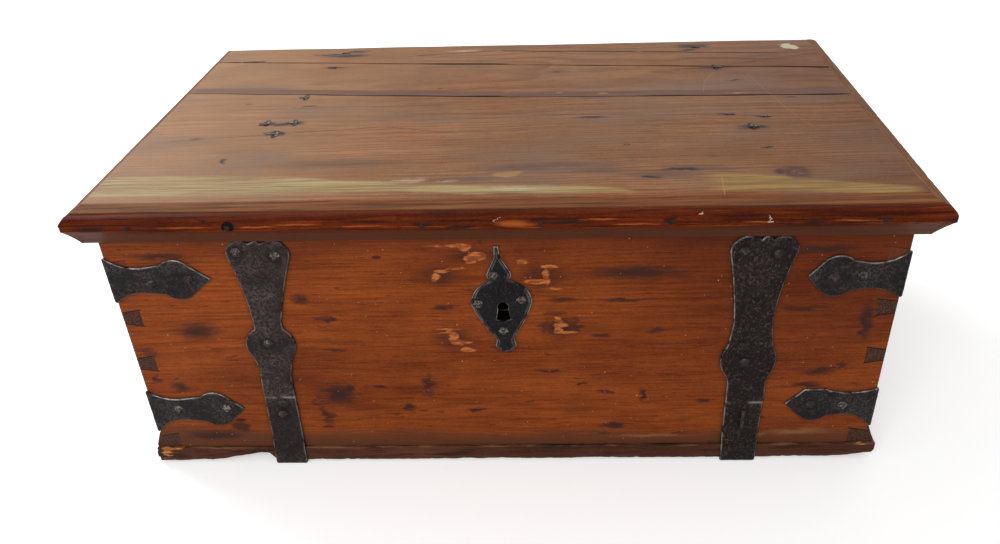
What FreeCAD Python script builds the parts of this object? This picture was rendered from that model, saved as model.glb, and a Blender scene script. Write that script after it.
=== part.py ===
import FreeCAD, Part
import math
import os

# Iron-bound pine blanket chest. Millimetres, +Z up, +X to the right of someone facing the front,
# front towards -Y. Everything is laid out about the middle of the carcass on the floor; the last
# step moves the whole chest so that its origin is the bottom centre of its overall box.

V = FreeCAD.Vector

# ---------------------------------------------------------------- carcass
BODY_W = 760.0            # over the side boards
BODY_D = 452.0            # over the front and back boards
BODY_H = 277.5            # height of the carcass boards
BOARD_T = 19.0            # front, back and side boards
BOTTOM_T = 19.0           # bottom boards
BASE_LEDGE_SIDE = 11.2    # bottom boards beyond the ends
BASE_LEDGE_FRONT = 3.0    # bottom boards beyond the front
BOTTOM_REAR_D = 186.0     # depth of the rear bottom board
FOOT_STRIP_T = 8.0        # sloping strip at the foot of each end
FOOT_STRIP_H = 21.0
FOOT_STRIP_LIP = 4.0
FOOT_STRIP_TOP_T = 1.5

# dovetails: pins on the side boards, tails on the front and back
PIN_PITCH = 57.7
PIN_FIRST = 58.4          # centre of the first whole pin above the bottom boards
PIN_ROOT_W = 20.5         # pin width at the inner shoulder
PIN_END_W = 13.0          # pin width at the outer face
HALF_PIN_LOW = 20.0       # half pin at the foot, at the inner shoulder
HALF_PIN_TOP = 11.0       # half pin at the rim, at the inner shoulder
HALF_PIN_TAPER = 4.0

# ---------------------------------------------------------------- lid
LID_T = 22.8
LID_OVER_LEFT = 8.5       # lid boards beyond the left end of the carcass
LID_OVER_RIGHT = 1.5      # and beyond the right end
LID_SKEW = -1.0           # degrees: the old lid sits a little askew
LID_SHIFT = 8.0           # and its back edge a little to the right
LID_BACK_CUT = 14.0       # the back edge runs in by this much at the right
SEAM_1 = (164.5, 199.2, 212.9)    # front joint, forward of the back: at the left, the middle, the right
SEAM_2 = (50.5, 123.1)            # rear joint, forward of the back: at the left and the right
MOULD_FRONT = 33.0        # depth of the front moulding
MOULD_LEFT = 7.8          # thickness of the left moulding
MOULD_RIGHT = 13.6        # thickness of the right moulding
MOULD_FLAT = 17.0         # flat before the quirk, front moulding
MOULD_QUIRK_W = 1.6
MOULD_QUIRK_D = 2.2
MOULD_TOP_DROP = 0.6      # moulding top below the lid top
OVOLO_START = 0.8         # round starts this far below the flat
OVOLO_DROP = 2.2          # and is this far below it a quarter of the way from the nose
MOULD_NOSE_TOP = 7.5      # start of the nose below the lid top
MOULD_NOSE_H = 5.5
MOULD_ARRIS = 1.0         # bevel under the nose
LIP_DROP = 13.0           # lip below the rim of the carcass
LIP_IN = 8.0              # inner face of the front lip from the joint
LIP_OUT = 11.5            # outer face of the front lip at its foot
SIDE_LIP_T = 3.0
MOULD_NAILS_X = (-334.0, -240.7, -64.2, 40.3, 153.6, 335.4)
MOULD_NAILS_Y = (-160.0, -20.0, 140.0)

# ---------------------------------------------------------------- ironwork
BAND_T = 3.0              # long straps, bent round the base
IRON_T = 2.5              # corner irons and hinge back leaves
PLATE_T = 2.0             # keyhole plate, lock plate, washers
JOG_H = 16.0              # height over which a strap steps out over the base
BAND_BACK_TOP = 110.0     # top of the strap on the back
LAP_T = 1.0               # extra thickness at the forge-welded lap
LAP_H = 14.0
LAP_IN = 1.0              # lap in from the edges of the strap
BACK_NAIL_DOWN = 25.0     # nail below the top of the strap on the back

NAIL_SHANK = 3.6          # square forged shank
NAIL_HEAD_R = 5.2
NAIL_HEAD_TOP_R = 2.4
NAIL_HEAD_H = 2.6
NAIL_CLENCH = 9.0
NAIL_CLENCH_T = 1.6
WOOD_NAIL_SHANK = 3.0     # nails sunk flush in the wood
WOOD_NAIL_HEAD = 2.2      # half width of their square heads
WOOD_NAIL_HEAD_T = 2.0
SHORT_NAIL = 14.0         # nails that stop inside a board
GRIP = 25.0               # how far a wood nail reaches into the second piece
STRIP_GRIP = 15.0
BOTTOM_NAILS_X = (50.0, 260.0)          # from each end of the carcass
BOTTOM_NAILS_Y = (-120.0, 10.0, 130.0)
STRIP_NAILS_Y = (-180.0, 0.0, 180.0)

# hinge
HINGE_PIN_R = 2.5
HINGE_PIN_CLEAR = 0.08
HINGE_FACE_GAP = 0.3      # lid knuckle to the back face
HINGE_END_GAP = 0.5       # between knuckles, end to end
HINGE_STRAP_W = 32.0
HINGE_MID_W = 14.0
HINGE_LEAF_LEN = 135.0
HINGE_LEAF_POINT = 22.0
HINGE_LEAF_NAILS = (28.0, 65.0, 100.0)   # below the axis
HINGE_SQUARE = 6.0        # square end of the lid strap before it turns
HINGE_LAND = 1.0          # strap stops short of the back face
CLENCH_SUNK = 1.0         # clenches hammered into the lid
LOBE_HALF = 27.0
LOBE_LEN = 33.0
STRAP_NECK_HALF = 11.0
STRAP_LEAF_HALF = 11.0
STRAP_TIP_HALF = 3.0
NOTCH_CLEAR = 0.6
NOTCH_SIDE = 1.5
PIN_HEAD_R = 4.2
PIN_HEAD_T = 2.0

# drop handles
HANDLE_DOWN = 109.5       # eyes below the rim
HANDLE_SPAN = 100.0       # eye to eye
HANDLE_DROP = 62.0
HANDLE_ROD_R = 4.5
HANDLE_PIN_R = 3.8
HANDLE_CLEAR = 0.3
HANDLE_BEND_R = 9.9       # from the pin down into the leg
HANDLE_CORNER_R = 16.0    # from the leg into the grip
HANDLE_SHOULDER = 2.5     # eye to the start of the bend
HANDLE_KNOB_R = 5.5
HANDLE_KNOB_T = 3.0
HANDLE_END_PLAY = 1.5
EYE_R = 8.0
EYE_W = 6.0
EYE_REACH = 11.0          # eye centre out from the end of the carcass
EYE_CLENCH = 18.0
EYE_CLENCH_T = 3.0
WASHER_R = 16.0

# ---------------------------------------------------------------- levels and faces
BASE_Z = BAND_T                         # underside of the bottom boards
BASE_TOP = BASE_Z + BOTTOM_T            # foot of the carcass boards
RIM_Z = BASE_TOP + BODY_H               # rim, and underside of the lid
LID_TOP = RIM_Z + LID_T
FRONT_Y = -BODY_D / 2
BACK_Y = BODY_D / 2
SIDE_X = BODY_W / 2
INNER_X = SIDE_X - BOARD_T
INNER_FRONT_Y = FRONT_Y + BOARD_T
INNER_BACK_Y = BACK_Y - BOARD_T
KNUCKLE_R = HINGE_PIN_R + HINGE_PIN_CLEAR + BAND_T
AXIS_Y = BACK_Y + KNUCKLE_R + HINGE_FACE_GAP
AXIS_Z = RIM_Z - KNUCKLE_R
HANDLE_X = SIDE_X + EYE_REACH
HANDLE_Z = RIM_Z - HANDLE_DOWN
LID_LEFT = SIDE_X + LID_OVER_LEFT
LID_RIGHT = SIDE_X + LID_OVER_RIGHT
LID_BACK = (BACK_Y, BACK_Y - LID_BACK_CUT)

# lock
KEY_X = 2.1
KEY_Z = RIM_Z - 101.2     # middle of the keyhole
KEYHOLE_H = 22.3
KEYHOLE_W = 14.4
KEYHOLE_WAIST = 9.7
KEYHOLE_SHOULDER = 8.0    # top of the keyhole down to its waist
KEYHOLE_SAG = 1.5         # rounded foot of the keyhole
KEYHOLE_CLEAR = 1.0       # wood hole beyond the plate's keyhole
LOCK_W = 104.0
LOCK_H = 115.5
LOCK_DEPTH = 16.5
LOCK_WALL = 1.5
LOCK_TOP_GAP = 6.0        # lock cover below the rim
LOCK_FLANGE = 7.0
LOCK_MARGIN = 3.0         # lock plate beyond the cover's flange
LOCK_PLAY = 0.3
RIVET_SHANK = 3.0
RIVET_IN = 12.0           # rivets from the top and foot of the cover
BOLT_T = 5.0
BOLT_H = 10.0
BOLT_BAR = 42.0           # length of the bolt's bar
BOLT_SLOT_IN = 4.0        # its slot in from the left end
BOLT_DEEP = 5.5           # bolt behind the lock plate
BOLT_DOWN = 18.0          # bolt below the top of the cover
BOLT_LIMB = 8.0           # width of the limb that joins the bar and the foot
BOLT_FOOT_H = 22.0
BOLT_FOOT_GAP = 9.0       # foot above the keyhole
BOLT_FOOT_REACH = 6.0     # foot beyond the middle of the keyhole
BOLT_TRAVEL = 16.0
BOLT_SHORT = 6.0          # withdrawn tip short of the middle of the staple
NOTCH_W = 10.0            # notch that the key turns in
NOTCH_H = 8.0
STUD_R = 2.5
STUD_BEFORE = 1.5
SLOT_SPARE = 1.0
GUIDE_FROM_TIP = 7.0      # guide loop behind the bolt's tip
GUIDE_W = 5.0
GUIDE_T = 2.0
SPRING_T = 1.0
SPRING_FOOT = 12.0
SPRING_SHORT = 16.0       # spring stops behind the bolt's tip
KEY_PIN_R = 2.0
KEY_PIN_DOWN = 5.5        # key pin below the top of the keyhole
STAPLE_T = 4.0
STAPLE_WALL = 2.2
STAPLE_SPAN = 12.4        # staple from front to back
STAPLE_BELOW = 5.0        # staple below the bolt
STAPLE_EYE_PLAY = 1.5
STAPLE_SLOT = 3.0         # slot in the cover beyond the staple
STAPLE_PLATE = (40.0, 28.0)
STAPLE_NAIL_X = 13.0

LOCK_Y = INNER_FRONT_Y + PLATE_T                 # inner side of the lock plate
COVER_Y = LOCK_Y + LOCK_DEPTH                    # inner side of the cover's back wall
LOCK_TOP = RIM_Z - LOCK_TOP_GAP
LOCK_LOW = LOCK_TOP - LOCK_H
LOCK_HALF = LOCK_W / 2
BOLT_Y = LOCK_Y + BOLT_DEEP
BOLT_TOP = LOCK_TOP - BOLT_DOWN
BOLT_LOW = BOLT_TOP - BOLT_H
BOLT_TIP_X = KEY_X - BOLT_SHORT
STUD_SLOT_X = BOLT_TIP_X - BOLT_BAR + BOLT_SLOT_IN     # left end of the bolt's slot
STAPLE_X = KEY_X

# front straps: the middle of the foot in from the end of the carcass; each section is (aside of that
# middle, height, half width). Sections above the foot go with the rim, so the head stays below the lid
STRAP_LEFT_IN = 140.0
STRAP_RIGHT_IN = 132.9
STRAPS = {
    "left": {
        "x": -SIDE_X + STRAP_LEFT_IN, "foot": (0.0, 0.0, 17.2), "shoulder": (2.2, 118.0, 16.1),
        "disc_waist": (3.9, 136.0, 17.7), "disc_foot": (4.4, 147.5, 21.0), "disc": (4.5, 161.0, 25.3),
        "join": (6.0, 181.6, 14.0), "neck": (5.9, 190.2, 14.1), "flare": (8.6, 219.6, 18.5),
        "head": (11.3, 265.1, 29.9), "top": 283.8, "nib": 10.5, "lap": 93.0, "spare_hole": None,
        "nails": (("head", -20.4, 6.9), ("head", 16.5, 2.0), ("disc", -2.3, 2.6), ("foot", 1.1, 70.1)),
        "bent_nail": None,
    },
    "right": {
        "x": SIDE_X - STRAP_RIGHT_IN, "foot": (0.0, 0.0, 18.4), "shoulder": (-0.2, 104.0, 19.3),
        "disc_waist": (-0.3, 110.0, 20.0), "disc_foot": (-0.7, 118.5, 23.2), "disc": (-1.7, 131.0, 27.4),
        "join": (-1.4, 152.0, 22.2), "neck": (-1.7, 180.1, 18.7), "flare": (-1.9, 216.5, 22.0),
        "head": (-0.4, 261.0, 31.0), "top": 278.2, "nib": 1.5, "lap": 79.5, "spare_hole": (-1.6, 79.0),
        "nails": (("head", -18.4, 1.9), ("head", 13.4, -1.2), ("disc", -3.5, 2.0)),
        "bent_nail": (0.0, 68.5),
    },
}
STRAP_RIM = 299.5         # rim height that those heights belong to
STRAP_LIFT = RIM_Z - STRAP_RIM
LOBE_AT = 0.72            # crown of each lobe, as a share of the head's half width
LOBE_DROP = 1.2
BENT_NAIL_LEN = 24.5      # how far the bent nail lies down the strap
BENT_NAIL_T = 2.0
NIB_H = 4.2              # valleys beside the nib, below the top of the lobes
NIB_W = 5.0
NIB_TIP = 1.25
NIB_RISE = 0.6
UNDER_NAILS_Y = (-150.0, 0.0, 150.0)

# corner irons: height of the middle, reach of the front leaf from the corner, where it bulges, and
# half heights below and above the middle at the corner; nails are (from the corner, up) and
# (back from the tip, up)
CORNER_IRONS = {
    "upper_left": {"side": -1, "z": RIM_Z - 58.2, "tip": 99.6, "bulge": 66.0, "low": 26.0, "up": 25.5,
                   "nails": ((40.1, -4.2), (21.8, 0.6))},
    "upper_right": {"side": 1, "z": RIM_Z - 66.3, "tip": 89.0, "bulge": 62.0, "low": 25.0, "up": 26.0,
                    "nails": ((39.0, 0.4), (23.4, -0.8))},
    "lower_left": {"side": -1, "z": BASE_TOP + 54.9, "tip": 100.1, "bulge": 69.0, "low": 31.0, "up": 25.0,
                   "nails": ((29.3, 1.8), (18.3, 1.4))},
    "lower_right": {"side": 1, "z": BASE_TOP + 54.9, "tip": 90.3, "bulge": 61.0, "low": 31.0, "up": 19.0,
                    "nails": ((32.4, -2.2), (25.4, -0.5))},
}
LEAF_BULGE = 22.6         # half height at the bulge
LEAF_CUSP_BACK = 13.0     # cusp before the bulge
LEAF_POINT_ON = 15.0      # start of the point beyond the bulge
LEAF_WAIST_AT = 34.0      # waist from the corner
LEAF_CUSP = 17.0          # half height at the cusp before the bulge
LEAF_WAIST = 14.3         # half height at the waist
LEAF_SHOULDER = 15.0      # half height where the bulge turns into the point
SIDE_LEAF = 95.0          # reach of the leaf on the end of the chest

# keyhole plate, about its own middle, half widths by height
ESC_X = 0.9
ESC_Z = RIM_Z - 92.1
ESC_LEAN = 2.8            # degrees
ESC_NAILS = ((-22.8, 1.2), (19.7, 3.3), (-1.1, -32.6), (-4.5, 32.7))

# strap hinges: knuckle in from the end of the carcass; tip and lobes of the strap, forward of the back
# face. Nails are (aside of the knuckle, forward of the back face, headed); those of the lobes are
# (aside of the knuckle, forward of the lobes), and the one in the leaf is (aside, back from the tip)
HINGE_LEFT_IN = 165.5
HINGE_RIGHT_IN = 136.6
HINGES = {
    "left": {"x": -SIDE_X + HINGE_LEFT_IN, "tip": (-34.0, 306.5), "lobe": 261.5,
             "nails": ((2.3, 22.9, False), (-5.1, 79.7, True), (-19.0, 183.6, True)),
             "lobe_nails": ((-14.5, -0.7), (-45.3, 2.0)), "leaf_nail": (-29.8, 15.2)},
    "right": {"x": SIDE_X - HINGE_RIGHT_IN, "tip": (16.1, 318.0), "lobe": 273.0,
              "nails": ((-4.4, 40.2, True), (9.2, 119.1, True)),
              "lobe_nails": ((-3.8, -4.3), (33.4, 3.0)), "leaf_nail": (15.1, 15.0)},
}

OUT = 20.0                # how far a cutting shape runs past what it cuts

NODES = {}


# ---------------------------------------------------------------- helpers
def box(x0, x1, y0, y1, z0, z1):
    return Part.makeBox(x1 - x0, y1 - y0, z1 - z0, V(x0, y0, z0))


def cylinder(radius, length, start, direction):
    return Part.makeCylinder(radius, length, start, direction)


def wire_of(start, steps, place):
    """Closed wire: each step is (None, end) for a line or (middle, end) for an arc."""
    edges = []
    here = start
    for middle, end in steps:
        if middle is None:
            edges.append(Part.LineSegment(place(here), place(end)).toShape())
        else:
            edges.append(Part.Arc(place(here), place(middle), place(end)).toShape())
        here = end
    if here != start:
        edges.append(Part.LineSegment(place(here), place(start)).toShape())
    return Part.Wire(edges)


def backwards(start, steps):
    """The same open path walked from its end to its start."""
    points = [start] + [end for _, end in steps]
    middles = [middle for middle, _ in steps]
    return points[-1], list(zip(reversed(middles), reversed(points[:-1])))


def two_sided(side_path):
    """Outline whose right side is side_path(+1) and whose left side is side_path(-1), both upwards."""
    start, right = side_path(1)
    left_top, left_down = backwards(*side_path(-1))
    return start, right + [(None, left_top)] + left_down


def prism(start, steps, place, push):
    return Part.Face(wire_of(start, steps, place)).extrude(push)


def polygon(points, place, push):
    return prism(points[0], [(None, p) for p in points[1:]], place, push)


def in_xz(y):
    return lambda p: V(p[0], y, p[1])


def in_yz(x):
    return lambda p: V(x, p[0], p[1])


def in_xy(z):
    return lambda p: V(p[0], p[1], z)


def mirrored_x(shape):
    return shape.mirror(V(0, 0, 0), V(1, 0, 0))


def mirrored_y(shape):
    return shape.mirror(V(0, 0, 0), V(0, 1, 0))


def on_lid(shape):
    """Moves a piece drawn square to the carcass to where the skewed lid carries it."""
    moved = shape.copy()
    moved.rotate(V(0, BACK_Y, 0), V(0, 0, 1), LID_SKEW)
    moved.translate(V(LID_SHIFT, 0, 0))
    return moved


def less(shape, cutters):
    """The shape with every cutter that reaches it taken away."""
    near = [c for c in cutters if shape.BoundBox.intersect(c.BoundBox)]
    return shape.cut(near) if near else shape


def joined(shapes):
    whole = shapes[0]
    for shape in shapes[1:]:
        whole = whole.fuse(shape)
    return whole.removeSplitter()


def nail(point, drive, clench, length, head=True, shank=NAIL_SHANK, clenched=True):
    """Forged nail: faceted head on the surface at point, square shank, tip bent over along clench."""
    pieces = [box(-shank / 2, shank / 2, -shank / 2, shank / 2, 0, length)]
    if head:
        rings = []
        for radius, height in ((NAIL_HEAD_R, 0.0), (NAIL_HEAD_TOP_R, -NAIL_HEAD_H)):
            corners = [V(radius * math.cos(math.radians(a)), radius * math.sin(math.radians(a)), height)
                       for a in range(0, 420, 60)]
            rings.append(Part.makePolygon(corners))
        pieces.append(Part.makeLoft(rings, True, True))
    if clenched:
        pieces.append(box(-shank / 2, NAIL_CLENCH, -shank / 2, shank / 2, length, length + NAIL_CLENCH_T))
    whole = joined(pieces)
    turn = FreeCAD.Rotation(clench, drive.cross(clench), drive, "ZXY")
    whole.Placement = FreeCAD.Placement(point, turn)
    return whole


def wood_nail(point, drive, length):
    """Nail sunk flush in the wood: a small square head and a thinner shank."""
    across = V(0, 0, 1) if abs(drive.z) < 0.5 else V(1, 0, 0)
    wide, half = WOOD_NAIL_HEAD, WOOD_NAIL_SHANK / 2
    head = box(-wide, wide, -wide, wide, 0, WOOD_NAIL_HEAD_T)
    whole = joined([head, box(-half, half, -half, half, WOOD_NAIL_HEAD_T, length)])
    turn = FreeCAD.Rotation(across, drive.cross(across), drive, "ZXY")
    whole.Placement = FreeCAD.Placement(point, turn)
    return whole


# ---------------------------------------------------------------- dovetailed carcass
def pin_profiles():
    """Dovetail pins in the XZ plane at the right-hand end, as four-cornered outlines."""
    profiles = []
    height = PIN_FIRST
    while height < BODY_H - HALF_PIN_TOP - PIN_ROOT_W:
        middle = BASE_TOP + height
        profiles.append([(INNER_X, middle - PIN_ROOT_W / 2), (SIDE_X, middle - PIN_END_W / 2),
                         (SIDE_X, middle + PIN_END_W / 2), (INNER_X, middle + PIN_ROOT_W / 2)])
        height += PIN_PITCH
    profiles.append([(INNER_X, BASE_TOP), (SIDE_X, BASE_TOP),
                     (SIDE_X, BASE_TOP + HALF_PIN_LOW - HALF_PIN_TAPER),
                     (INNER_X, BASE_TOP + HALF_PIN_LOW)])
    profiles.append([(INNER_X, RIM_Z - HALF_PIN_TOP), (SIDE_X, RIM_Z - HALF_PIN_TOP + HALF_PIN_TAPER),
                     (SIDE_X, RIM_Z), (INNER_X, RIM_Z)])
    return profiles


def front_pins():
    """All pins that pass through the front board, both ends."""
    right = [polygon(p, in_xz(FRONT_Y), V(0, BOARD_T, 0)) for p in pin_profiles()]
    return right + [mirrored_x(p) for p in right]


def side_board_right():
    pins = [polygon(p, in_xz(FRONT_Y), V(0, BOARD_T, 0)) for p in pin_profiles()]
    pins += [mirrored_y(p) for p in pins]
    board = box(INNER_X, SIDE_X, INNER_FRONT_Y, INNER_BACK_Y, BASE_TOP, RIM_Z)
    return joined([board] + pins)


def bottom_board(y0, y1):
    reach = SIDE_X + BASE_LEDGE_SIDE
    return box(-reach, reach, y0, y1, BASE_Z, BASE_TOP)


def foot_strip_right():
    foot = BASE_TOP
    profile = [(SIDE_X, foot), (SIDE_X + FOOT_STRIP_T, foot),
               (SIDE_X + FOOT_STRIP_T, foot + FOOT_STRIP_LIP),
               (SIDE_X + FOOT_STRIP_TOP_T, foot + FOOT_STRIP_H), (SIDE_X, foot + FOOT_STRIP_H)]
    return polygon(profile, in_xz(FRONT_Y), V(0, BODY_D, 0))


# ---------------------------------------------------------------- front straps
def strap_section(strap, name):
    """Middle X, height and half width of a section of the strap."""
    aside, z, half = strap[name]
    return strap["x"] + aside, z if name == "foot" else z + STRAP_LIFT, half


def strap_side(strap):
    top = strap["top"] + STRAP_LIFT
    nib = strap["x"] + strap["nib"]

    def path(sign):
        def at(name):
            x, z, half = strap_section(strap, name)
            return x + sign * half, z
        head_x, _, head_half = strap_section(strap, "head")
        lobe = (head_x + sign * head_half * LOBE_AT, top - LOBE_DROP)
        valley = (nib + sign * NIB_W, top - NIB_H)
        return at("foot"), [
            (None, at("shoulder")),
            (at("disc_waist"), at("disc_foot")),
            (at("disc"), at("join")),
            (None, at("neck")),
            (at("flare"), at("head")),
            (lobe, valley),
            (None, (nib + sign * NIB_TIP, top + NIB_RISE)),
        ]
    return path


def band_profile(x0, x1):
    """The strap seen from the end: down the front, out over the base, under it and up the back."""
    face, ledge, t, top = FRONT_Y, FRONT_Y - BASE_LEDGE_FRONT, BAND_T, RIM_Z
    round_off = t * math.sqrt(0.5)
    start = (face, top)
    steps = [
        (None, (face, BASE_TOP + JOG_H)), (None, (ledge, BASE_TOP)), (None, (ledge, BASE_Z)),
        (None, (BACK_Y, BASE_Z)), (None, (BACK_Y, BAND_BACK_TOP)), (None, (BACK_Y + t, BAND_BACK_TOP)),
        (None, (BACK_Y + t, BASE_Z)),
        ((BACK_Y + round_off, BASE_Z - round_off), (BACK_Y, 0.0)),
        (None, (ledge, 0.0)),
        ((ledge - round_off, BASE_Z - round_off), (ledge - t, BASE_Z)),
        (None, (ledge - t, BASE_TOP)), (None, (face - t, BASE_TOP + JOG_H)), (None, (face - t, top)),
    ]
    return prism(start, steps, in_yz(x0), V(x1 - x0, 0, 0))


def front_strap(side):
    strap = STRAPS[side]
    foot_x, _, foot_half = strap_section(strap, "foot")
    head_x, _, head_half = strap_section(strap, "head")
    reach = abs(head_x - foot_x) + head_half + foot_half
    band = band_profile(foot_x - reach, foot_x + reach)
    start, steps = two_sided(strap_side(strap))
    front = prism(start, steps, in_xz(FRONT_Y - OUT), V(0, 2 * OUT, 0))
    rear = box(foot_x - foot_half, foot_x + foot_half, FRONT_Y + BAND_T, BACK_Y + OUT, -OUT, RIM_Z)
    lap_x, _, lap_half = strap_section(strap, "shoulder")
    lap_half -= LAP_IN
    lap_z = strap["lap"] + STRAP_LIFT
    face = FRONT_Y - BAND_T
    lap = box(lap_x - lap_half, lap_x + lap_half, face - LAP_T, face, lap_z, lap_z + LAP_H)
    whole = joined([band.common(front), band.common(rear), lap])
    if strap["spare_hole"]:
        aside, z = strap["spare_hole"]
        x, z, half = foot_x + aside, z + STRAP_LIFT, NAIL_SHANK / 2
        whole = whole.cut(box(x - half, x + half, FRONT_Y - OUT, FRONT_Y, z - half, z + half))
    return whole


def strap_nails(side):
    """Front nails, clenched inside the front board; flush nails underneath; one nail at the back."""
    strap = STRAPS[side]
    nails = []
    through = BAND_T + BOARD_T
    towards_middle = V(1, 0, 0) if side == "left" else V(-1, 0, 0)
    for section, aside, up in strap["nails"]:
        x, z, _ = strap_section(strap, section)
        nails.append(nail(V(x + aside, FRONT_Y - BAND_T, z + up), V(0, 1, 0), towards_middle, through))
    foot_x, _, _ = strap_section(strap, "foot")
    if strap["bent_nail"]:
        aside, z = strap["bent_nail"]
        nails.append(bent_nail(foot_x + aside, z, through, towards_middle))
    for y in UNDER_NAILS_Y:
        nails.append(nail(V(foot_x, y, 0), V(0, 0, 1), V(1, 0, 0), SHORT_NAIL, head=False,
                          clenched=False))
    at_back = V(foot_x, BACK_Y + BAND_T, BAND_BACK_TOP - BACK_NAIL_DOWN)
    nails.append(nail(at_back, V(0, -1, 0), towards_middle, through))
    return nails


def bent_nail(x, z, through, clench):
    """A nail that bent over as it was driven and was hammered flat down the iron."""
    half = NAIL_SHANK / 2
    face = FRONT_Y - BAND_T
    shank = nail(V(x, face, z), V(0, 1, 0), clench, through, head=False)
    flat = box(x - half, x + half, face - BENT_NAIL_T, face, z + half - BENT_NAIL_LEN, z + half)
    return joined([shank, flat])


# ---------------------------------------------------------------- corner irons
def leaf_path(iron, reach):
    """Upper or lower edge of a leaf, from the corner (u = 0) to its tip; u runs along the board."""
    bulge = iron["bulge"] + reach - iron["tip"]

    def path(sign):
        flare = iron["up"] if sign > 0 else iron["low"]
        middle = iron["z"]
        hollow = LEAF_WAIST + 0.25 * (flare - LEAF_WAIST)
        return (-IRON_T, middle + sign * flare), [
            (None, (0.0, middle + sign * flare)),
            ((LEAF_WAIST_AT * 0.4, middle + sign * hollow), (LEAF_WAIST_AT, middle + sign * LEAF_WAIST)),
            (None, (bulge - LEAF_CUSP_BACK, middle + sign * LEAF_CUSP)),
            ((bulge, middle + sign * LEAF_BULGE), (bulge + LEAF_POINT_ON, middle + sign * LEAF_SHOULDER)),
            (None, (reach, middle + sign * 0.6)),
        ]
    return path


def corner_iron(iron, front_reach):
    """Iron at the right-hand front corner: a leaf on the front and one on the end, in one piece."""
    z0, z1 = iron["z"] - iron["low"], iron["z"] + iron["up"]
    round_off = IRON_T * math.sqrt(0.5)
    front_end, side_end = SIDE_X - front_reach - OUT, FRONT_Y + SIDE_LEAF + OUT
    outer = [
        (None, (front_end, FRONT_Y - IRON_T)), (None, (SIDE_X, FRONT_Y - IRON_T)),
        ((SIDE_X + round_off, FRONT_Y - round_off), (SIDE_X + IRON_T, FRONT_Y)),
        (None, (SIDE_X + IRON_T, side_end)), (None, (SIDE_X, side_end)), (None, (SIDE_X, FRONT_Y)),
    ]
    angle = prism((front_end, FRONT_Y), outer, in_xy(z0), V(0, 0, z1 - z0))
    start, steps = two_sided(leaf_path(iron, front_reach))
    front_leaf = prism(start, steps, lambda p: V(SIDE_X - p[0], FRONT_Y - OUT, p[1]), V(0, OUT, 0))
    start, steps = two_sided(leaf_path(iron, SIDE_LEAF))
    end_leaf = prism(start, steps, lambda p: V(SIDE_X, FRONT_Y + p[0], p[1]), V(OUT, 0, 0))
    return joined([angle.common(front_leaf), angle.common(end_leaf)])


def corner_iron_nails(iron, front_reach):
    """Nails of the iron at the right-hand front corner."""
    through = IRON_T + BOARD_T
    nails = []
    (inner, inner_up), (from_tip, outer_up) = iron["nails"]
    for u, up in ((inner, inner_up), (front_reach - from_tip, outer_up)):
        start = V(SIDE_X - u, FRONT_Y - IRON_T, iron["z"] + up)
        nails.append(nail(start, V(0, 1, 0), V(-1, 0, 0), through))
    for u, up in ((inner, inner_up), (SIDE_LEAF - from_tip, outer_up)):
        start = V(SIDE_X + IRON_T, FRONT_Y + u, iron["z"] + up)
        nails.append(nail(start, V(-1, 0, 0), V(0, 1, 0), through))
    return nails


# ---------------------------------------------------------------- keyhole plate
def leaning(p):
    """A point of the keyhole plate, turned by its lean."""
    c, s = math.cos(math.radians(ESC_LEAN)), math.sin(math.radians(ESC_LEAN))
    return ESC_X + c * p[0] - s * p[1], ESC_Z + s * p[0] + c * p[1]


def keyhole_plate_side(sign):
    return (0.0, -60.7), [
        ((sign * 9.2, -56.7), (sign * 9.9, -49.1)),
        (None, (sign * 8.6, -44.0)),
        (None, (sign * 11.3, -37.4)),
        ((sign * 21.6, -19.7), (sign * 29.5, 0.0)),
        ((sign * 23.1, 18.0), (sign * 7.7, 26.6)),
        ((sign * 11.2, 30.9), (sign * 10.9, 35.9)),
        (None, (sign * 2.7, 52.6)),
        (None, (sign * 1.8, 64.8)),
    ]


def keyhole(grow):
    """Keyhole outline in the XZ plane: round head, narrow waist, flared foot."""
    top, low = KEY_Z + KEYHOLE_H / 2 + grow, KEY_Z - KEYHOLE_H / 2 - grow
    waist, foot = KEYHOLE_WAIST / 2 + grow, KEYHOLE_W / 2 + grow
    waist_z, foot_z = KEY_Z + KEYHOLE_H / 2 - KEYHOLE_SHOULDER, low + KEYHOLE_SAG
    return (KEY_X + waist, waist_z), [
        ((KEY_X, top), (KEY_X - waist, waist_z)),
        (None, (KEY_X - foot, foot_z)),
        ((KEY_X, low), (KEY_X + foot, foot_z)),
    ]


def keyhole_cutter(y0, y1, grow):
    start, steps = keyhole(grow)
    return prism(start, steps, in_xz(y0), V(0, y1 - y0, 0))


def keyhole_plate():
    start, steps = keyhole_plate_side(1)
    _, left = keyhole_plate_side(-1)
    left_top, left_down = backwards(start, left)
    steps = steps + [(None, left_top)] + left_down
    place = in_xz(FRONT_Y - PLATE_T)
    return prism(start, steps, lambda p: place(leaning(p)), V(0, PLATE_T, 0))


def keyhole_plate_nails():
    nails = []
    for u, w in ESC_NAILS:
        x, z = leaning((u, w))
        nails.append(nail(V(x, FRONT_Y - PLATE_T, z), V(0, 1, 0), V(1, 0, 0), SHORT_NAIL, clenched=False))
    return nails


# ---------------------------------------------------------------- lock, inside the front board
def lock_plate():
    edge = LOCK_HALF + LOCK_FLANGE + LOCK_MARGIN
    return box(-edge, edge, INNER_FRONT_Y, LOCK_Y, LOCK_LOW - LOCK_FLANGE - LOCK_MARGIN, RIM_Z - PLATE_T)


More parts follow.
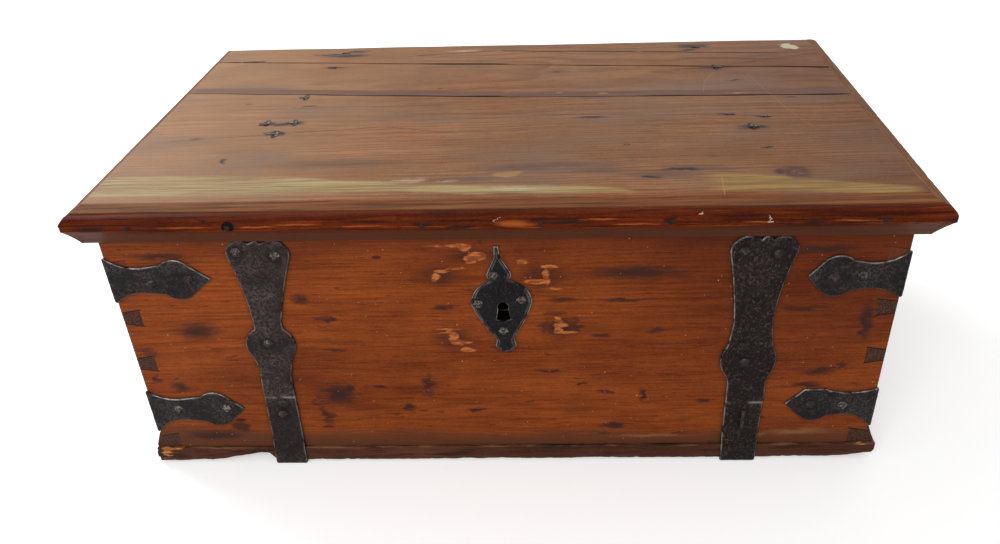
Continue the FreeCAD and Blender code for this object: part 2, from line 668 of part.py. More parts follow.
def lock_cover():
    wall, flange_x = LOCK_WALL, LOCK_HALF + LOCK_FLANGE
    outer = box(-LOCK_HALF - wall, LOCK_HALF + wall, LOCK_Y, COVER_Y + wall, LOCK_LOW - wall, LOCK_TOP)
    inner = box(-LOCK_HALF, LOCK_HALF, LOCK_Y, COVER_Y, LOCK_LOW, LOCK_TOP - wall)
    flange = box(-flange_x, flange_x, LOCK_Y, LOCK_Y + wall, LOCK_LOW - LOCK_FLANGE, LOCK_TOP)
    slot_x = STAPLE_T / 2 + STAPLE_SLOT
    slot = box(STAPLE_X - slot_x, STAPLE_X + slot_x, LOCK_Y, COVER_Y, LOCK_TOP - wall, LOCK_TOP)
    return joined([outer, flange]).cut([inner, slot])


def lock_rivets():
    """Four rivets through the cover's flange and the lock plate."""
    x = LOCK_HALF + (LOCK_WALL + LOCK_FLANGE) / 2
    half, head = RIVET_SHANK / 2, (LOCK_FLANGE - LOCK_WALL) / 2
    rivets = []
    for side in (-x, x):
        for z in (LOCK_LOW + RIVET_IN, LOCK_TOP - RIVET_IN):
            shank = box(side - half, side + half, INNER_FRONT_Y, LOCK_Y + LOCK_WALL, z - half, z + half)
            cap = box(side - head, side + head, LOCK_Y + LOCK_WALL, LOCK_Y + 2 * LOCK_WALL,
                      z - head, z + head)
            rivets.append(joined([shank, cap]))
    return rivets


def lock_nails():
    """Four flush nails that hold the lock plate to the front board."""
    nails = []
    top_x = LOCK_HALF + LOCK_FLANGE + LOCK_MARGIN / 2 - NAIL_SHANK / 2
    low_z = LOCK_LOW - LOCK_FLANGE - LOCK_MARGIN / 2
    top_z = (LOCK_TOP + RIM_Z - PLATE_T) / 2
    for x, z in ((-LOCK_HALF / 2, low_z), (LOCK_HALF / 2, low_z), (-top_x, top_z), (top_x, top_z)):
        nails.append(nail(V(x, LOCK_Y, z), V(0, -1, 0), V(1, 0, 0), PLATE_T + SHORT_NAIL,
                          head=False, shank=RIVET_SHANK, clenched=False))
    return nails


def lock_bolt():
    """Flat bolt: bar at the top, limb and foot below, with the notch that the key turns in."""
    left = BOLT_TIP_X - BOLT_BAR
    foot_low = KEY_Z + KEYHOLE_H / 2 + BOLT_FOOT_GAP
    foot_top = foot_low + BOLT_FOOT_H
    foot_right = KEY_X + BOLT_FOOT_REACH
    notch_right = foot_right - BOLT_T
    profile = [
        (left, BOLT_TOP), (BOLT_TIP_X, BOLT_TOP), (BOLT_TIP_X, BOLT_LOW), (left + BOLT_LIMB, BOLT_LOW),
        (left + BOLT_LIMB, foot_top), (foot_right, foot_top), (foot_right, foot_low),
        (notch_right, foot_low), (notch_right, foot_low + NOTCH_H),
        (notch_right - NOTCH_W, foot_low + NOTCH_H),
        (notch_right - NOTCH_W, foot_low), (left, foot_low),
    ]
    bolt = polygon(profile, in_xz(BOLT_Y), V(0, BOLT_T, 0))
    half = STUD_R + LOCK_PLAY
    middle = (BOLT_TOP + BOLT_LOW) / 2
    slot_right = STUD_SLOT_X + BOLT_TRAVEL + 2 * STUD_R + 2 * SLOT_SPARE
    return bolt.cut(box(STUD_SLOT_X, slot_right, BOLT_Y, BOLT_Y + BOLT_T, middle - half, middle + half))


def lock_guides():
    """Stud in the bolt's slot, and a loop round the bolt's bar, both fixed to the cover."""
    middle = (BOLT_TOP + BOLT_LOW) / 2
    stud_x = STUD_SLOT_X + BOLT_TRAVEL + STUD_R + SLOT_SPARE
    stud_y = BOLT_Y - STUD_BEFORE
    stud = cylinder(STUD_R, COVER_Y - stud_y, V(stud_x, stud_y, middle), V(0, 1, 0))
    x1 = BOLT_TIP_X - GUIDE_FROM_TIP
    x0 = x1 - GUIDE_W
    low, top = BOLT_LOW - LOCK_PLAY, BOLT_TOP + LOCK_PLAY
    near, far = BOLT_Y - LOCK_PLAY, BOLT_Y + BOLT_T + LOCK_PLAY
    block = box(x0, x1, near - GUIDE_T, COVER_Y, low - GUIDE_T, top + GUIDE_T)
    hole = box(x0, x1, near, far, low, top)
    behind = box(x0, x1, far + GUIDE_T, COVER_Y, low, top)
    return [stud, block.cut([hole, behind])]


def lock_spring():
    """Flat spring that rubs on the top of the bolt's bar, with its foot on the cover's end wall."""
    x0, z0 = -LOCK_HALF, BOLT_TOP + LOCK_PLAY
    leaf = box(x0, BOLT_TIP_X - SPRING_SHORT, BOLT_Y, BOLT_Y + BOLT_T, z0, z0 + SPRING_T)
    foot = box(x0, x0 + SPRING_T, BOLT_Y, BOLT_Y + BOLT_T, z0, z0 + SPRING_FOOT)
    return joined([leaf, foot])


def lock_key_pin():
    foot = V(KEY_X, LOCK_Y, KEY_Z + KEYHOLE_H / 2 - KEY_PIN_DOWN)
    return cylinder(KEY_PIN_R, LOCK_DEPTH, foot, V(0, 1, 0))


def catch_staple():
    """Plate on the underside of the lid, with the loop that the bolt enters."""
    half_x, depth = STAPLE_PLATE[0] / 2, STAPLE_PLATE[1]
    plate = box(STAPLE_X - half_x, STAPLE_X + half_x, LOCK_Y + PLATE_T, LOCK_Y + PLATE_T + depth,
                RIM_Z - PLATE_T, RIM_Z)
    middle = BOLT_Y + BOLT_T / 2
    y0, y1 = middle - STAPLE_SPAN / 2, middle + STAPLE_SPAN / 2
    x0, x1 = STAPLE_X - STAPLE_T / 2, STAPLE_X + STAPLE_T / 2
    loop = box(x0, x1, y0, y1, BOLT_LOW - STAPLE_BELOW, RIM_Z - PLATE_T)
    eye = box(x0, x1, y0 + STAPLE_WALL, y1 - STAPLE_WALL,
              BOLT_LOW - STAPLE_EYE_PLAY, BOLT_TOP + STAPLE_EYE_PLAY)
    return joined([plate, loop]).cut(eye)


def catch_staple_nails():
    y = (COVER_Y + LOCK_Y + PLATE_T + STAPLE_PLATE[1]) / 2
    return [nail(V(STAPLE_X + aside, y, RIM_Z - PLATE_T), V(0, 0, 1), V(1, 0, 0), SHORT_NAIL,
                 clenched=False) for aside in (-STAPLE_NAIL_X, STAPLE_NAIL_X)]


# ---------------------------------------------------------------- hinges
def hinge_strap(side):
    """Leaf under the lid: narrow knuckle at the back, tapering strap, two lobes and a leaf point."""
    hinge = HINGES[side]
    x_back, y_square = hinge["x"], BACK_Y - HINGE_SQUARE
    x_tip, y_tip = x_back + hinge["tip"][0], BACK_Y - hinge["tip"][1]
    y_lobe = BACK_Y - hinge["lobe"]

    def at(y, sideways):
        middle = x_back + (x_tip - x_back) * (y_square - y) / (y_square - y_tip)
        return middle + sideways, y

    def path(sign):
        half = sign * HINGE_STRAP_W / 2
        lobe_back, lobe_front = y_lobe + LOBE_LEN * 0.6, y_lobe - LOBE_LEN * 0.4
        return (x_back + half, BACK_Y - HINGE_LAND), [
            (None, (x_back + half, y_square)),
            (None, at(lobe_back + STRAP_NECK_HALF, sign * STRAP_NECK_HALF)),
            (None, at(lobe_back, sign * STRAP_NECK_HALF)),
            (at(y_lobe + LOBE_LEN * 0.12, sign * LOBE_HALF), at(lobe_front, sign * STRAP_LEAF_HALF)),
            (at((lobe_front + y_tip) / 2, sign * STRAP_LEAF_HALF),
             (x_tip + sign * STRAP_TIP_HALF, y_tip)),
        ]
    start, steps = two_sided(path)
    leaf = prism(start, steps, in_xy(RIM_Z - BAND_T), V(0, 0, BAND_T))
    half = HINGE_MID_W / 2
    tongue = box(x_back - half, x_back + half, y_square, AXIS_Y, RIM_Z - BAND_T, RIM_Z)
    start = V(x_back - half, AXIS_Y, AXIS_Z)
    barrel = cylinder(KNUCKLE_R, HINGE_MID_W, start, V(1, 0, 0))
    bore = cylinder(HINGE_PIN_R + HINGE_PIN_CLEAR, HINGE_MID_W, start, V(1, 0, 0))
    return joined([leaf, tongue, barrel]).cut(bore)


def hinge_strap_nails(side):
    """Driven up through strap and lid and clenched on top; the one over the rim is flush below."""
    hinge = HINGES[side]
    outwards = V(-1, 0, 0) if side == "left" else V(1, 0, 0)
    leaf_aside, leaf_back = hinge["leaf_nail"]
    places = list(hinge["nails"])
    places += [(aside, hinge["lobe"] + forward, True) for aside, forward in hinge["lobe_nails"]]
    places.append((leaf_aside, hinge["tip"][1] - leaf_back, True))
    return [nail(V(hinge["x"] + aside, BACK_Y - forward, RIM_Z - BAND_T), V(0, 0, 1), outwards,
                 BAND_T + LID_T - CLENCH_SUNK, head=headed) for aside, forward, headed in places]


def hinge_leaf(side):
    """Leaf on the back face: two outer knuckles round the pin, strap and spear point."""
    x, half = HINGES[side]["x"], HINGE_STRAP_W / 2
    low = AXIS_Z - HINGE_LEAF_LEN
    shoulder = low + HINGE_LEAF_POINT
    spear = half * 0.75
    outline = [(x, low), (x + spear, shoulder), (x + half, AXIS_Z), (x - half, AXIS_Z),
               (x - spear, shoulder)]
    plate = polygon(outline, in_xz(BACK_Y), V(0, IRON_T, 0))
    start = V(x - half, AXIS_Y, AXIS_Z)
    barrel = cylinder(HINGE_PIN_R + IRON_T, HINGE_STRAP_W, start, V(1, 0, 0))
    bore = cylinder(HINGE_PIN_R, HINGE_STRAP_W, start, V(1, 0, 0))
    gap = HINGE_MID_W / 2 + HINGE_END_GAP
    clear = KNUCKLE_R + HINGE_FACE_GAP
    middle = box(x - gap, x + gap, BACK_Y, AXIS_Y + clear, AXIS_Z - clear, AXIS_Z + clear)
    return joined([plate, barrel]).cut([middle, bore])


def hinge_pin(side):
    x, half = HINGES[side]["x"], HINGE_STRAP_W / 2
    ends = (x - half - PIN_HEAD_T, x + half)
    heads = [cylinder(PIN_HEAD_R, PIN_HEAD_T, V(end, AXIS_Y, AXIS_Z), V(1, 0, 0)) for end in ends]
    rod = cylinder(HINGE_PIN_R, HINGE_STRAP_W + 2 * PIN_HEAD_T, V(ends[0], AXIS_Y, AXIS_Z), V(1, 0, 0))
    return joined([rod] + heads)


def hinge_leaf_nails(side):
    x = HINGES[side]["x"]
    clench = V(1, 0, 0) if side == "left" else V(-1, 0, 0)
    return [nail(V(x, BACK_Y + IRON_T, AXIS_Z - down), V(0, -1, 0), clench, IRON_T + BOARD_T)
            for down in HINGE_LEAF_NAILS]


def rim_notch(side):
    """Clearance in the back board's rim for the strap leaf."""
    x, half = HINGES[side]["x"], HINGE_STRAP_W / 2 + NOTCH_SIDE
    return box(x - half, x + half, INNER_BACK_Y, BACK_Y, RIM_Z - BAND_T - NOTCH_CLEAR, RIM_Z)


# ---------------------------------------------------------------- lid
def lid_boards():
    left, right = -LID_LEFT, LID_RIGHT
    xs = (left, (left + right) / 2, right)
    seam_1 = [(x, BACK_Y - y) for x, y in zip(xs, SEAM_1)]
    seam_2 = [(left, BACK_Y - SEAM_2[0]), (right, BACK_Y - SEAM_2[1])]
    outlines = {
        "lid_board_front": [(left, FRONT_Y), (right, FRONT_Y)] + seam_1[::-1],
        "lid_board_middle": seam_1 + seam_2[::-1],
        "lid_board_rear": seam_2 + [(right, LID_BACK[1]), (left, LID_BACK[0])],
    }
    return {name: on_lid(polygon(points, in_xy(RIM_Z), V(0, 0, LID_T)))
            for name, points in outlines.items()}


def moulding_profile(depth, lip_in, lip_out):
    """Section of the moulding: u outwards from the joint with the boards, then the height."""
    k = depth / MOULD_FRONT
    top = LID_TOP - MOULD_TOP_DROP
    nose_top = LID_TOP - MOULD_NOSE_TOP
    nose_low = nose_top - MOULD_NOSE_H
    arris = MOULD_ARRIS * k
    flat = MOULD_FLAT * k
    quirk = flat + MOULD_QUIRK_W * k
    foot = RIM_Z - LIP_DROP
    hollow = (lip_out + 0.42 * (depth - lip_out), (nose_low + foot) / 2 - arris / 2)
    profile = [
        (None, (0.0, top)), (None, (flat, top)), (None, (flat, top - MOULD_QUIRK_D)),
        (None, (quirk, top - MOULD_QUIRK_D)), (None, (quirk, top - OVOLO_START)),
        ((depth - 0.28 * (depth - flat), top - OVOLO_DROP), (depth, nose_top)),
        (None, (depth, nose_low + arris)), (None, (depth - arris, nose_low)),
        (hollow, (lip_out, foot)), (None, (lip_in, foot)),
    ]
    return profile + ([(None, (lip_in, RIM_Z))] if lip_in > 0.0 else [])


def beyond_mitre(end_x, depth, sign):
    """Everything on the end strip's side of the mitre at one front corner of the lid."""
    def on_mitre(share):
        return end_x + sign * share * depth, FRONT_Y - share * MOULD_FRONT
    inside, outside = on_mitre(-0.5), on_mitre(1.5)
    far, back = end_x + sign * (depth + OUT), BACK_Y + OUT
    return polygon([inside, outside, (far, outside[1]), (far, back), (inside[0], back)],
                   in_xy(RIM_Z - LIP_DROP - OUT), V(0, 0, LIP_DROP + LID_T + 2 * OUT))


def mouldings():
    """Front strip and two end strips, mitred at the front corners, drawn square and put on the lid."""
    left, right = -LID_LEFT, LID_RIGHT
    start = (0.0, RIM_Z)
    length = LID_LEFT + LID_RIGHT + MOULD_LEFT + MOULD_RIGHT + 2 * OUT
    front = prism(start, moulding_profile(MOULD_FRONT, LIP_IN, LIP_OUT),
                  lambda p: V(left - MOULD_LEFT - OUT, FRONT_Y - p[0], p[1]), V(length, 0, 0))
    fore_end = FRONT_Y - MOULD_FRONT - OUT
    left_strip = prism(start, moulding_profile(MOULD_LEFT, 0.0, SIDE_LIP_T),
                       lambda p: V(left - p[0], fore_end, p[1]), V(0, LID_BACK[0] - fore_end, 0))
    right_strip = prism(start, moulding_profile(MOULD_RIGHT, 0.0, SIDE_LIP_T),
                        lambda p: V(right + p[0], fore_end, p[1]), V(0, LID_BACK[1] - fore_end, 0))
    beyond_left = beyond_mitre(left, MOULD_LEFT, -1)
    beyond_right = beyond_mitre(right, MOULD_RIGHT, 1)
    return {
        "lid_moulding_front": on_lid(front.cut([beyond_left, beyond_right])),
        "lid_moulding_left": on_lid(left_strip.common(beyond_left)),
        "lid_moulding_right": on_lid(right_strip.common(beyond_right)),
    }


def moulding_nails():
    """Nails through the nose of each strip into the edges of the lid boards."""
    z = LID_TOP - MOULD_NOSE_TOP - (MOULD_NOSE_H - MOULD_ARRIS) / 2
    nails = [wood_nail(V(x, FRONT_Y - MOULD_FRONT, z), V(0, 1, 0), MOULD_FRONT + GRIP)
             for x in MOULD_NAILS_X]
    for y in MOULD_NAILS_Y:
        nails.append(wood_nail(V(-LID_LEFT - MOULD_LEFT, y, z), V(1, 0, 0), MOULD_LEFT + GRIP))
        nails.append(wood_nail(V(LID_RIGHT + MOULD_RIGHT, y, z), V(-1, 0, 0), MOULD_RIGHT + GRIP))
    return [on_lid(n) for n in nails]


# ---------------------------------------------------------------- drop handles (right-hand one)
def handle_eyes_right():
    """Two forged eyes: a ring outside, a square shank through washer and board, bent over inside."""
    eyes = []
    half = EYE_W / 2
    hole_r = HANDLE_PIN_R + HANDLE_CLEAR
    for y in (-HANDLE_SPAN / 2, HANDLE_SPAN / 2):
        start = V(HANDLE_X, y - half, HANDLE_Z)
        ring = cylinder(EYE_R, EYE_W, start, V(0, 1, 0))
        hole = cylinder(hole_r, EYE_W, start, V(0, 1, 0))
        wood_side = box(SIDE_X - OUT, SIDE_X + PLATE_T, y - half, y + half,
                        HANDLE_Z - OUT, HANDLE_Z + OUT)
        shank = box(INNER_X, HANDLE_X, y - half, y + half, HANDLE_Z - half, HANDLE_Z + half)
        clench = box(INNER_X - EYE_CLENCH_T, INNER_X, y - half, y + half,
                     HANDLE_Z - half, HANDLE_Z + EYE_CLENCH)
        eyes.append(joined([ring.cut(wood_side), shank, clench]).cut(hole))
    return eyes


def handle_washers_right():
    return [cylinder(WASHER_R, PLATE_T, V(SIDE_X, sign * HANDLE_SPAN / 2, HANDLE_Z), V(1, 0, 0))
            for sign in (-1, 1)]


def handle_right():
    """Bail: knob, pin through the eye, bend, leg, rounded corner, grip, and the same again."""
    bend_y = HANDLE_SPAN / 2 - EYE_W / 2 - HANDLE_SHOULDER
    leg_y = bend_y - HANDLE_BEND_R
    grip_z = HANDLE_Z - HANDLE_DROP
    pin_end = HANDLE_SPAN / 2 + EYE_W / 2 + HANDLE_END_PLAY
    short = 1 - math.sqrt(0.5)                  # middle of a quarter arc, as a share of its radius

    def half_path(s):
        return [
            V(HANDLE_X, s * bend_y, HANDLE_Z),
            V(HANDLE_X, s * (leg_y + HANDLE_BEND_R * short), HANDLE_Z - HANDLE_BEND_R * short),
            V(HANDLE_X, s * leg_y, HANDLE_Z - HANDLE_BEND_R),
            V(HANDLE_X, s * leg_y, grip_z + HANDLE_CORNER_R),
            V(HANDLE_X, s * (leg_y - HANDLE_CORNER_R * short), grip_z + HANDLE_CORNER_R * short),
            V(HANDLE_X, s * (leg_y - HANDLE_CORNER_R), grip_z),
        ]
    a, b = half_path(-1), half_path(1)
    path = Part.Wire([
        Part.Arc(a[0], a[1], a[2]).toShape(), Part.LineSegment(a[2], a[3]).toShape(),
        Part.Arc(a[3], a[4], a[5]).toShape(), Part.LineSegment(a[5], b[5]).toShape(),
        Part.Arc(b[5], b[4], b[3]).toShape(), Part.LineSegment(b[3], b[2]).toShape(),
        Part.Arc(b[2], b[1], b[0]).toShape(),
    ])
    ring = Part.Wire([Part.makeCircle(HANDLE_ROD_R, a[0], V(0, 1, 0))])
    pieces = [path.makePipeShell([ring], True, False)]
    for s, side in ((-1, a), (1, b)):
        outwards = V(0, s, 0)
        pieces.append(cylinder(HANDLE_PIN_R, pin_end - bend_y, side[0], outwards))
        start = V(HANDLE_X, s * pin_end, HANDLE_Z)
        pieces.append(cylinder(HANDLE_KNOB_R, HANDLE_KNOB_T, start, outwards))
    return joined(pieces)


# ---------------------------------------------------------------- wood nails of the base
def bottom_nails():
    """Driven up through the bottom boards into the edges of the carcass boards."""
    places = []
    for inwards in BOTTOM_NAILS_X:
        for y in (FRONT_Y + BOARD_T / 2, BACK_Y - BOARD_T / 2):
            places += [(-SIDE_X + inwards, y), (SIDE_X - inwards, y)]
    for y in BOTTOM_NAILS_Y:
        places += [(-SIDE_X + BOARD_T / 2, y), (SIDE_X - BOARD_T / 2, y)]
    return [wood_nail(V(x, y, BASE_Z), V(0, 0, 1), BOTTOM_T + GRIP) for x, y in places]


def foot_strip_nails():
    nails = []
    for side in (-1, 1):
        for y in STRIP_NAILS_Y:
            start = V(side * (SIDE_X + FOOT_STRIP_T), y, BASE_TOP + FOOT_STRIP_LIP)
            nails.append(wood_nail(start, V(-side, 0, 0), FOOT_STRIP_T + STRIP_GRIP))
    return nails


# ---------------------------------------------------------------- assembly
def build():
    # fasteners first: every hole is cut with the fastener that fills it
    strap_fix = strap_nails("left") + strap_nails("right")
    iron_fix_front, iron_fix_back, irons = [], [], {}
    for name, iron in CORNER_IRONS.items():
        shape = corner_iron(iron, iron["tip"])
        fix = corner_iron_nails(iron, iron["tip"])
        if iron["side"] < 0:
            shape = mirrored_x(shape)
            fix = [mirrored_x(f) for f in fix]
        irons["corner_iron_front_" + name] = shape
        irons["corner_iron_back_" + name] = mirrored_y(shape)
        iron_fix_front += fix
        iron_fix_back += [mirrored_y(f) for f in fix]
    plate_fix = keyhole_plate_nails()
    lock_fix = lock_nails()
    rivets = lock_rivets()
    leaf_fix = hinge_leaf_nails("left") + hinge_leaf_nails("right")
    eyes_right = handle_eyes_right()
    eyes_left = [mirrored_x(e) for e in eyes_right]
    base_fix = bottom_nails()
    foot_fix = foot_strip_nails()
    wood_fix = (strap_fix + iron_fix_front + iron_fix_back + plate_fix + lock_fix + leaf_fix
                + eyes_right + eyes_left + base_fix + foot_fix)

    # carcass
    pins = front_pins()
    front = box(-SIDE_X, SIDE_X, FRONT_Y, INNER_FRONT_Y, BASE_TOP, RIM_Z).cut(pins)
    back = mirrored_y(front).cut([rim_notch("left"), rim_notch("right")])
    front = front.cut(keyhole_cutter(FRONT_Y, INNER_FRONT_Y, KEYHOLE_CLEAR))
    right = side_board_right()
    NODES["front_board"] = less(front, wood_fix)
    NODES["back_board"] = less(back, wood_fix)
    NODES["side_board_right"] = less(right, wood_fix)
    NODES["side_board_left"] = less(mirrored_x(right), wood_fix)
    seam_y = BACK_Y - BOTTOM_REAR_D
    NODES["bottom_board_front"] = less(bottom_board(FRONT_Y - BASE_LEDGE_FRONT, seam_y), wood_fix)
    NODES["bottom_board_rear"] = less(bottom_board(seam_y, BACK_Y), wood_fix)
    NODES["foot_strip_right"] = less(foot_strip_right(), foot_fix)
    NODES["foot_strip_left"] = less(mirrored_x(foot_strip_right()), foot_fix)
    NODES["bottom_nails"] = base_fix
    NODES["foot_strip_nails"] = foot_fix

    # ironwork of the carcass
    for side in ("left", "right"):
        NODES["front_strap_" + side] = less(front_strap(side), strap_fix)
        NODES["front_strap_nails_" + side] = strap_nails(side)
    for name, shape in irons.items():
        NODES[name] = less(shape, iron_fix_front + iron_fix_back)
    NODES["corner_iron_nails_front"] = iron_fix_front
    NODES["corner_iron_nails_back"] = iron_fix_back
    through_keyhole = keyhole_cutter(FRONT_Y - PLATE_T, LOCK_Y, 0.0)
    NODES["keyhole_plate"] = less(keyhole_plate().cut(through_keyhole), plate_fix)
    NODES["keyhole_plate_nails"] = plate_fix

    # lock
    NODES["lock_plate"] = less(lock_plate().cut(through_keyhole), lock_fix + rivets)
    NODES["lock_cover"] = less(lock_cover(), rivets)
    NODES["lock_rivets"] = rivets
    NODES["lock_nails"] = lock_fix
    NODES["lock_guides"] = lock_guides()
    NODES["lock_spring"] = lock_spring()
    NODES["lock_key_pin"] = lock_key_pin()
    NODES["lock_bolt"] = lock_bolt()

    # hinges on the carcass
    for side in ("left", "right"):
        NODES["hinge_leaf_" + side] = less(hinge_leaf(side), leaf_fix)
        NODES["hinge_pin_" + side] = hinge_pin(side)
    NODES["hinge_leaf_nails"] = leaf_fix

    # handles
    washers = [less(w, eyes_right) for w in handle_washers_right()]
    handle = handle_right()
    NODES["handle_eyes_right"] = eyes_right
    NODES["handle_eyes_left"] = eyes_left
    NODES["handle_washers_right"] = washers
    NODES["handle_washers_left"] = [mirrored_x(w) for w in washers]
    NODES["handle_right"] = handle
    NODES["handle_left"] = mirrored_x(handle)

    # lid
    strap_up = hinge_strap_nails("left") + hinge_strap_nails("right")
    staple_fix = catch_staple_nails()
    mould_fix = moulding_nails()
    lid_fix = strap_up + staple_fix + mould_fix
    for name, shape in {**lid_boards(), **mouldings()}.items():
        NODES[name] = less(shape, lid_fix)
    for side in ("left", "right"):
        NODES["hinge_strap_" + side] = less(hinge_strap(side), strap_up)
        NODES["hinge_strap_nails_" + side] = hinge_strap_nails(side)
    NODES["lid_moulding_nails"] = mould_fix
    NODES["catch_staple"] = less(catch_staple(), staple_fix)
    NODES["catch_staple_nails"] = staple_fix


def save():
    """Moves the chest to its origin and writes one STEP file per node."""
    os.makedirs("parts", exist_ok=True)
    shapes = {name: Part.makeCompound(s) if isinstance(s, list) else s for name, s in NODES.items()}
    whole = Part.makeCompound(list(shapes.values())).optimalBoundingBox(False, False)
    shift = V(-whole.Center.x, -whole.Center.y, 0)
    for name, shape in shapes.items():
        moved = shape.copy()
        moved.translate(shift)
        moved.exportStep("parts/" + name + ".step")
    print("nodes", len(shapes), "shift", [round(v, 4) for v in shift])
    print("size", round(whole.XLength, 2), round(whole.YLength, 2), round(whole.ZLength, 2))
    print("hinge axis y, z", round(AXIS_Y + shift.y, 4), round(AXIS_Z, 4))


build()
save()
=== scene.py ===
import math

import bpy
import numpy as np
from mathutils import Matrix, Vector


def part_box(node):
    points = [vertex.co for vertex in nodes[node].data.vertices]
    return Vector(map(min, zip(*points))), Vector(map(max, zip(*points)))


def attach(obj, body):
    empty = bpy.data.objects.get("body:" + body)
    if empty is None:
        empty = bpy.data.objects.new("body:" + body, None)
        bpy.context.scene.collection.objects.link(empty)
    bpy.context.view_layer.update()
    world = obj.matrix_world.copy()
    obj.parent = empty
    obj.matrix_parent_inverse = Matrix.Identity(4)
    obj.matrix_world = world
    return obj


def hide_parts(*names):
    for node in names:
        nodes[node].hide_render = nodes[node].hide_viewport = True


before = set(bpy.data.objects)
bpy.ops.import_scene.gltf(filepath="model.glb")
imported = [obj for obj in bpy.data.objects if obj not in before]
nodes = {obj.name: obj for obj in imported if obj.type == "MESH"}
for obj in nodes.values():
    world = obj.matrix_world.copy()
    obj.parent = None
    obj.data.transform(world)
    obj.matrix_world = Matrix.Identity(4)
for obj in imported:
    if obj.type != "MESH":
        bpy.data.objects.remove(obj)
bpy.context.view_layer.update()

MM = 0.001

# ======================================================================= viewpoint
# The chest is seen from a little above the height of a standing child, close to, with a plain lens.
SENSOR = 36.0 * MM
LENS = 0.87031 * SENSOR                   # so the view is 1.149 as wide as it is far away
EYE = Vector((0.040766, -0.912999, 0.684170))
PITCH, YAW, ROLL = math.radians(32.1138), math.radians(-3.4291), math.radians(-2.8149)

forward = Vector((math.sin(YAW) * math.cos(PITCH), math.cos(YAW) * math.cos(PITCH), -math.sin(PITCH)))
level = Vector((math.cos(YAW), -math.sin(YAW), 0.0))
above = level.cross(forward)
right = math.cos(ROLL) * level + math.sin(ROLL) * above
upward = math.cos(ROLL) * above - math.sin(ROLL) * level
camera = bpy.data.objects.new("camera", bpy.data.cameras.new("camera"))
bpy.context.scene.collection.objects.link(camera)
camera.matrix_world = Matrix.Translation(EYE) @ Matrix((right, upward, -forward)).transposed().to_4x4()
camera.data.sensor_fit = "HORIZONTAL"
camera.data.sensor_width = SENSOR / MM
camera.data.lens = LENS / MM
bpy.context.scene.camera = camera
bpy.context.scene.view_settings.view_transform = "Standard"


# ======================================================================= carcass: front board
# One wide plank of old pine, varnished orange-red, dovetailed to the ends. It carries the wear of a
# long life: dark rubs and dents, a dirty band above the base, and chips round the keyhole.
def srgb(red, green, blue):
    """A colour of 0 to 255 as it looks on a screen, turned into the linear values of a shader."""
    value = np.array((red, green, blue)) / 255.0
    linear = np.where(value <= 0.04045, value / 12.92, ((value + 0.055) / 1.055) ** 2.4)
    return (*linear, 1.0)


class Flow:
    """What comes out of a node: a number, a colour or a vector. A sum of flows becomes a node."""

    def __init__(self, socket):
        self.socket = socket

    def __add__(self, other):
        return reckon("ADD", self, other)

    def __sub__(self, other):
        return reckon("SUBTRACT", self, other)

    def __rsub__(self, other):
        return reckon("SUBTRACT", other, self)

    def __mul__(self, other):
        return reckon("MULTIPLY", self, other)

    def __truediv__(self, other):
        return reckon("DIVIDE", self, other)

    def __abs__(self):
        return reckon("ABSOLUTE", self)


def flows(node):
    return {socket.name: Flow(socket) for socket in node.outputs}


def connect(inputs, values):
    """Links flows to the inputs of a node and sets plain values on them, by name or number."""
    for name, value in values.items():
        if isinstance(value, Flow):
            value.socket.id_data.links.new(value.socket, inputs[name])
        else:
            inputs[name].default_value = value


def add(kind, inputs, **settings):
    """Adds a node where the flows among its inputs run; the settings come before the inputs."""
    made = next(v.socket.id_data for v in inputs.values() if isinstance(v, Flow)).nodes.new(kind)
    for name, value in settings.items():
        setattr(made, name, value)
    connect(made.inputs, inputs)
    return made


def reckon(operation, *values):
    """A sum worked out by a node: of vectors if one of the values is a vector or a colour."""
    sockets = [v.socket.type for v in values if isinstance(v, Flow)]
    vectors = "VECTOR" in sockets or "RGBA" in sockets or any(isinstance(v, tuple) for v in values)
    kind = "ShaderNodeVectorMath" if vectors else "ShaderNodeMath"
    made = add(kind, dict(enumerate(values)), operation=operation)
    return Flow(made.outputs["Value" if operation == "LENGTH" else 0])


def greater(a, b):
    return reckon("MAXIMUM", a, b)


def ramp(value, low, high, to_low=0.0, to_high=1.0):
    """Smooth step of a value from low to high."""
    made = add("ShaderNodeMapRange",
               {"Value": value, "From Min": low, "From Max": high, "To Min": to_low, "To Max": to_high},
               interpolation_type="SMOOTHSTEP")
    return Flow(made.outputs["Result"])


def blend(share, a, b, mode="MIX"):
    return Flow(add("ShaderNodeMix", {0: share, 6: a, 7: b}, data_type="RGBA", blend_type=mode).outputs[2])


def shaded(share, colour, red, green, blue):
    """A share of the colour multiplied by another."""
    return blend(share, colour, blend(1.0, colour, srgb(red, green, blue), "MULTIPLY"))


def noise(vector, scale, detail=2.0, roughness=0.5, output=0):
    inputs = {"Vector": vector, "Scale": scale, "Detail": detail, "Roughness": roughness}
    return Flow(add("ShaderNodeTexNoise", inputs).outputs[output])


def stretched(vector, factors, shift=(0.0, 0.0, 0.0)):
    return Flow(add("ShaderNodeMapping", {"Vector": vector, "Scale": factors, "Location": shift}).outputs[0])


def split(vector):
    return [Flow(socket) for socket in add("ShaderNodeSeparateXYZ", {0: vector}).outputs]


def joined(*parts):
    return Flow(add("ShaderNodeCombineXYZ", dict(enumerate(parts))).outputs[0])


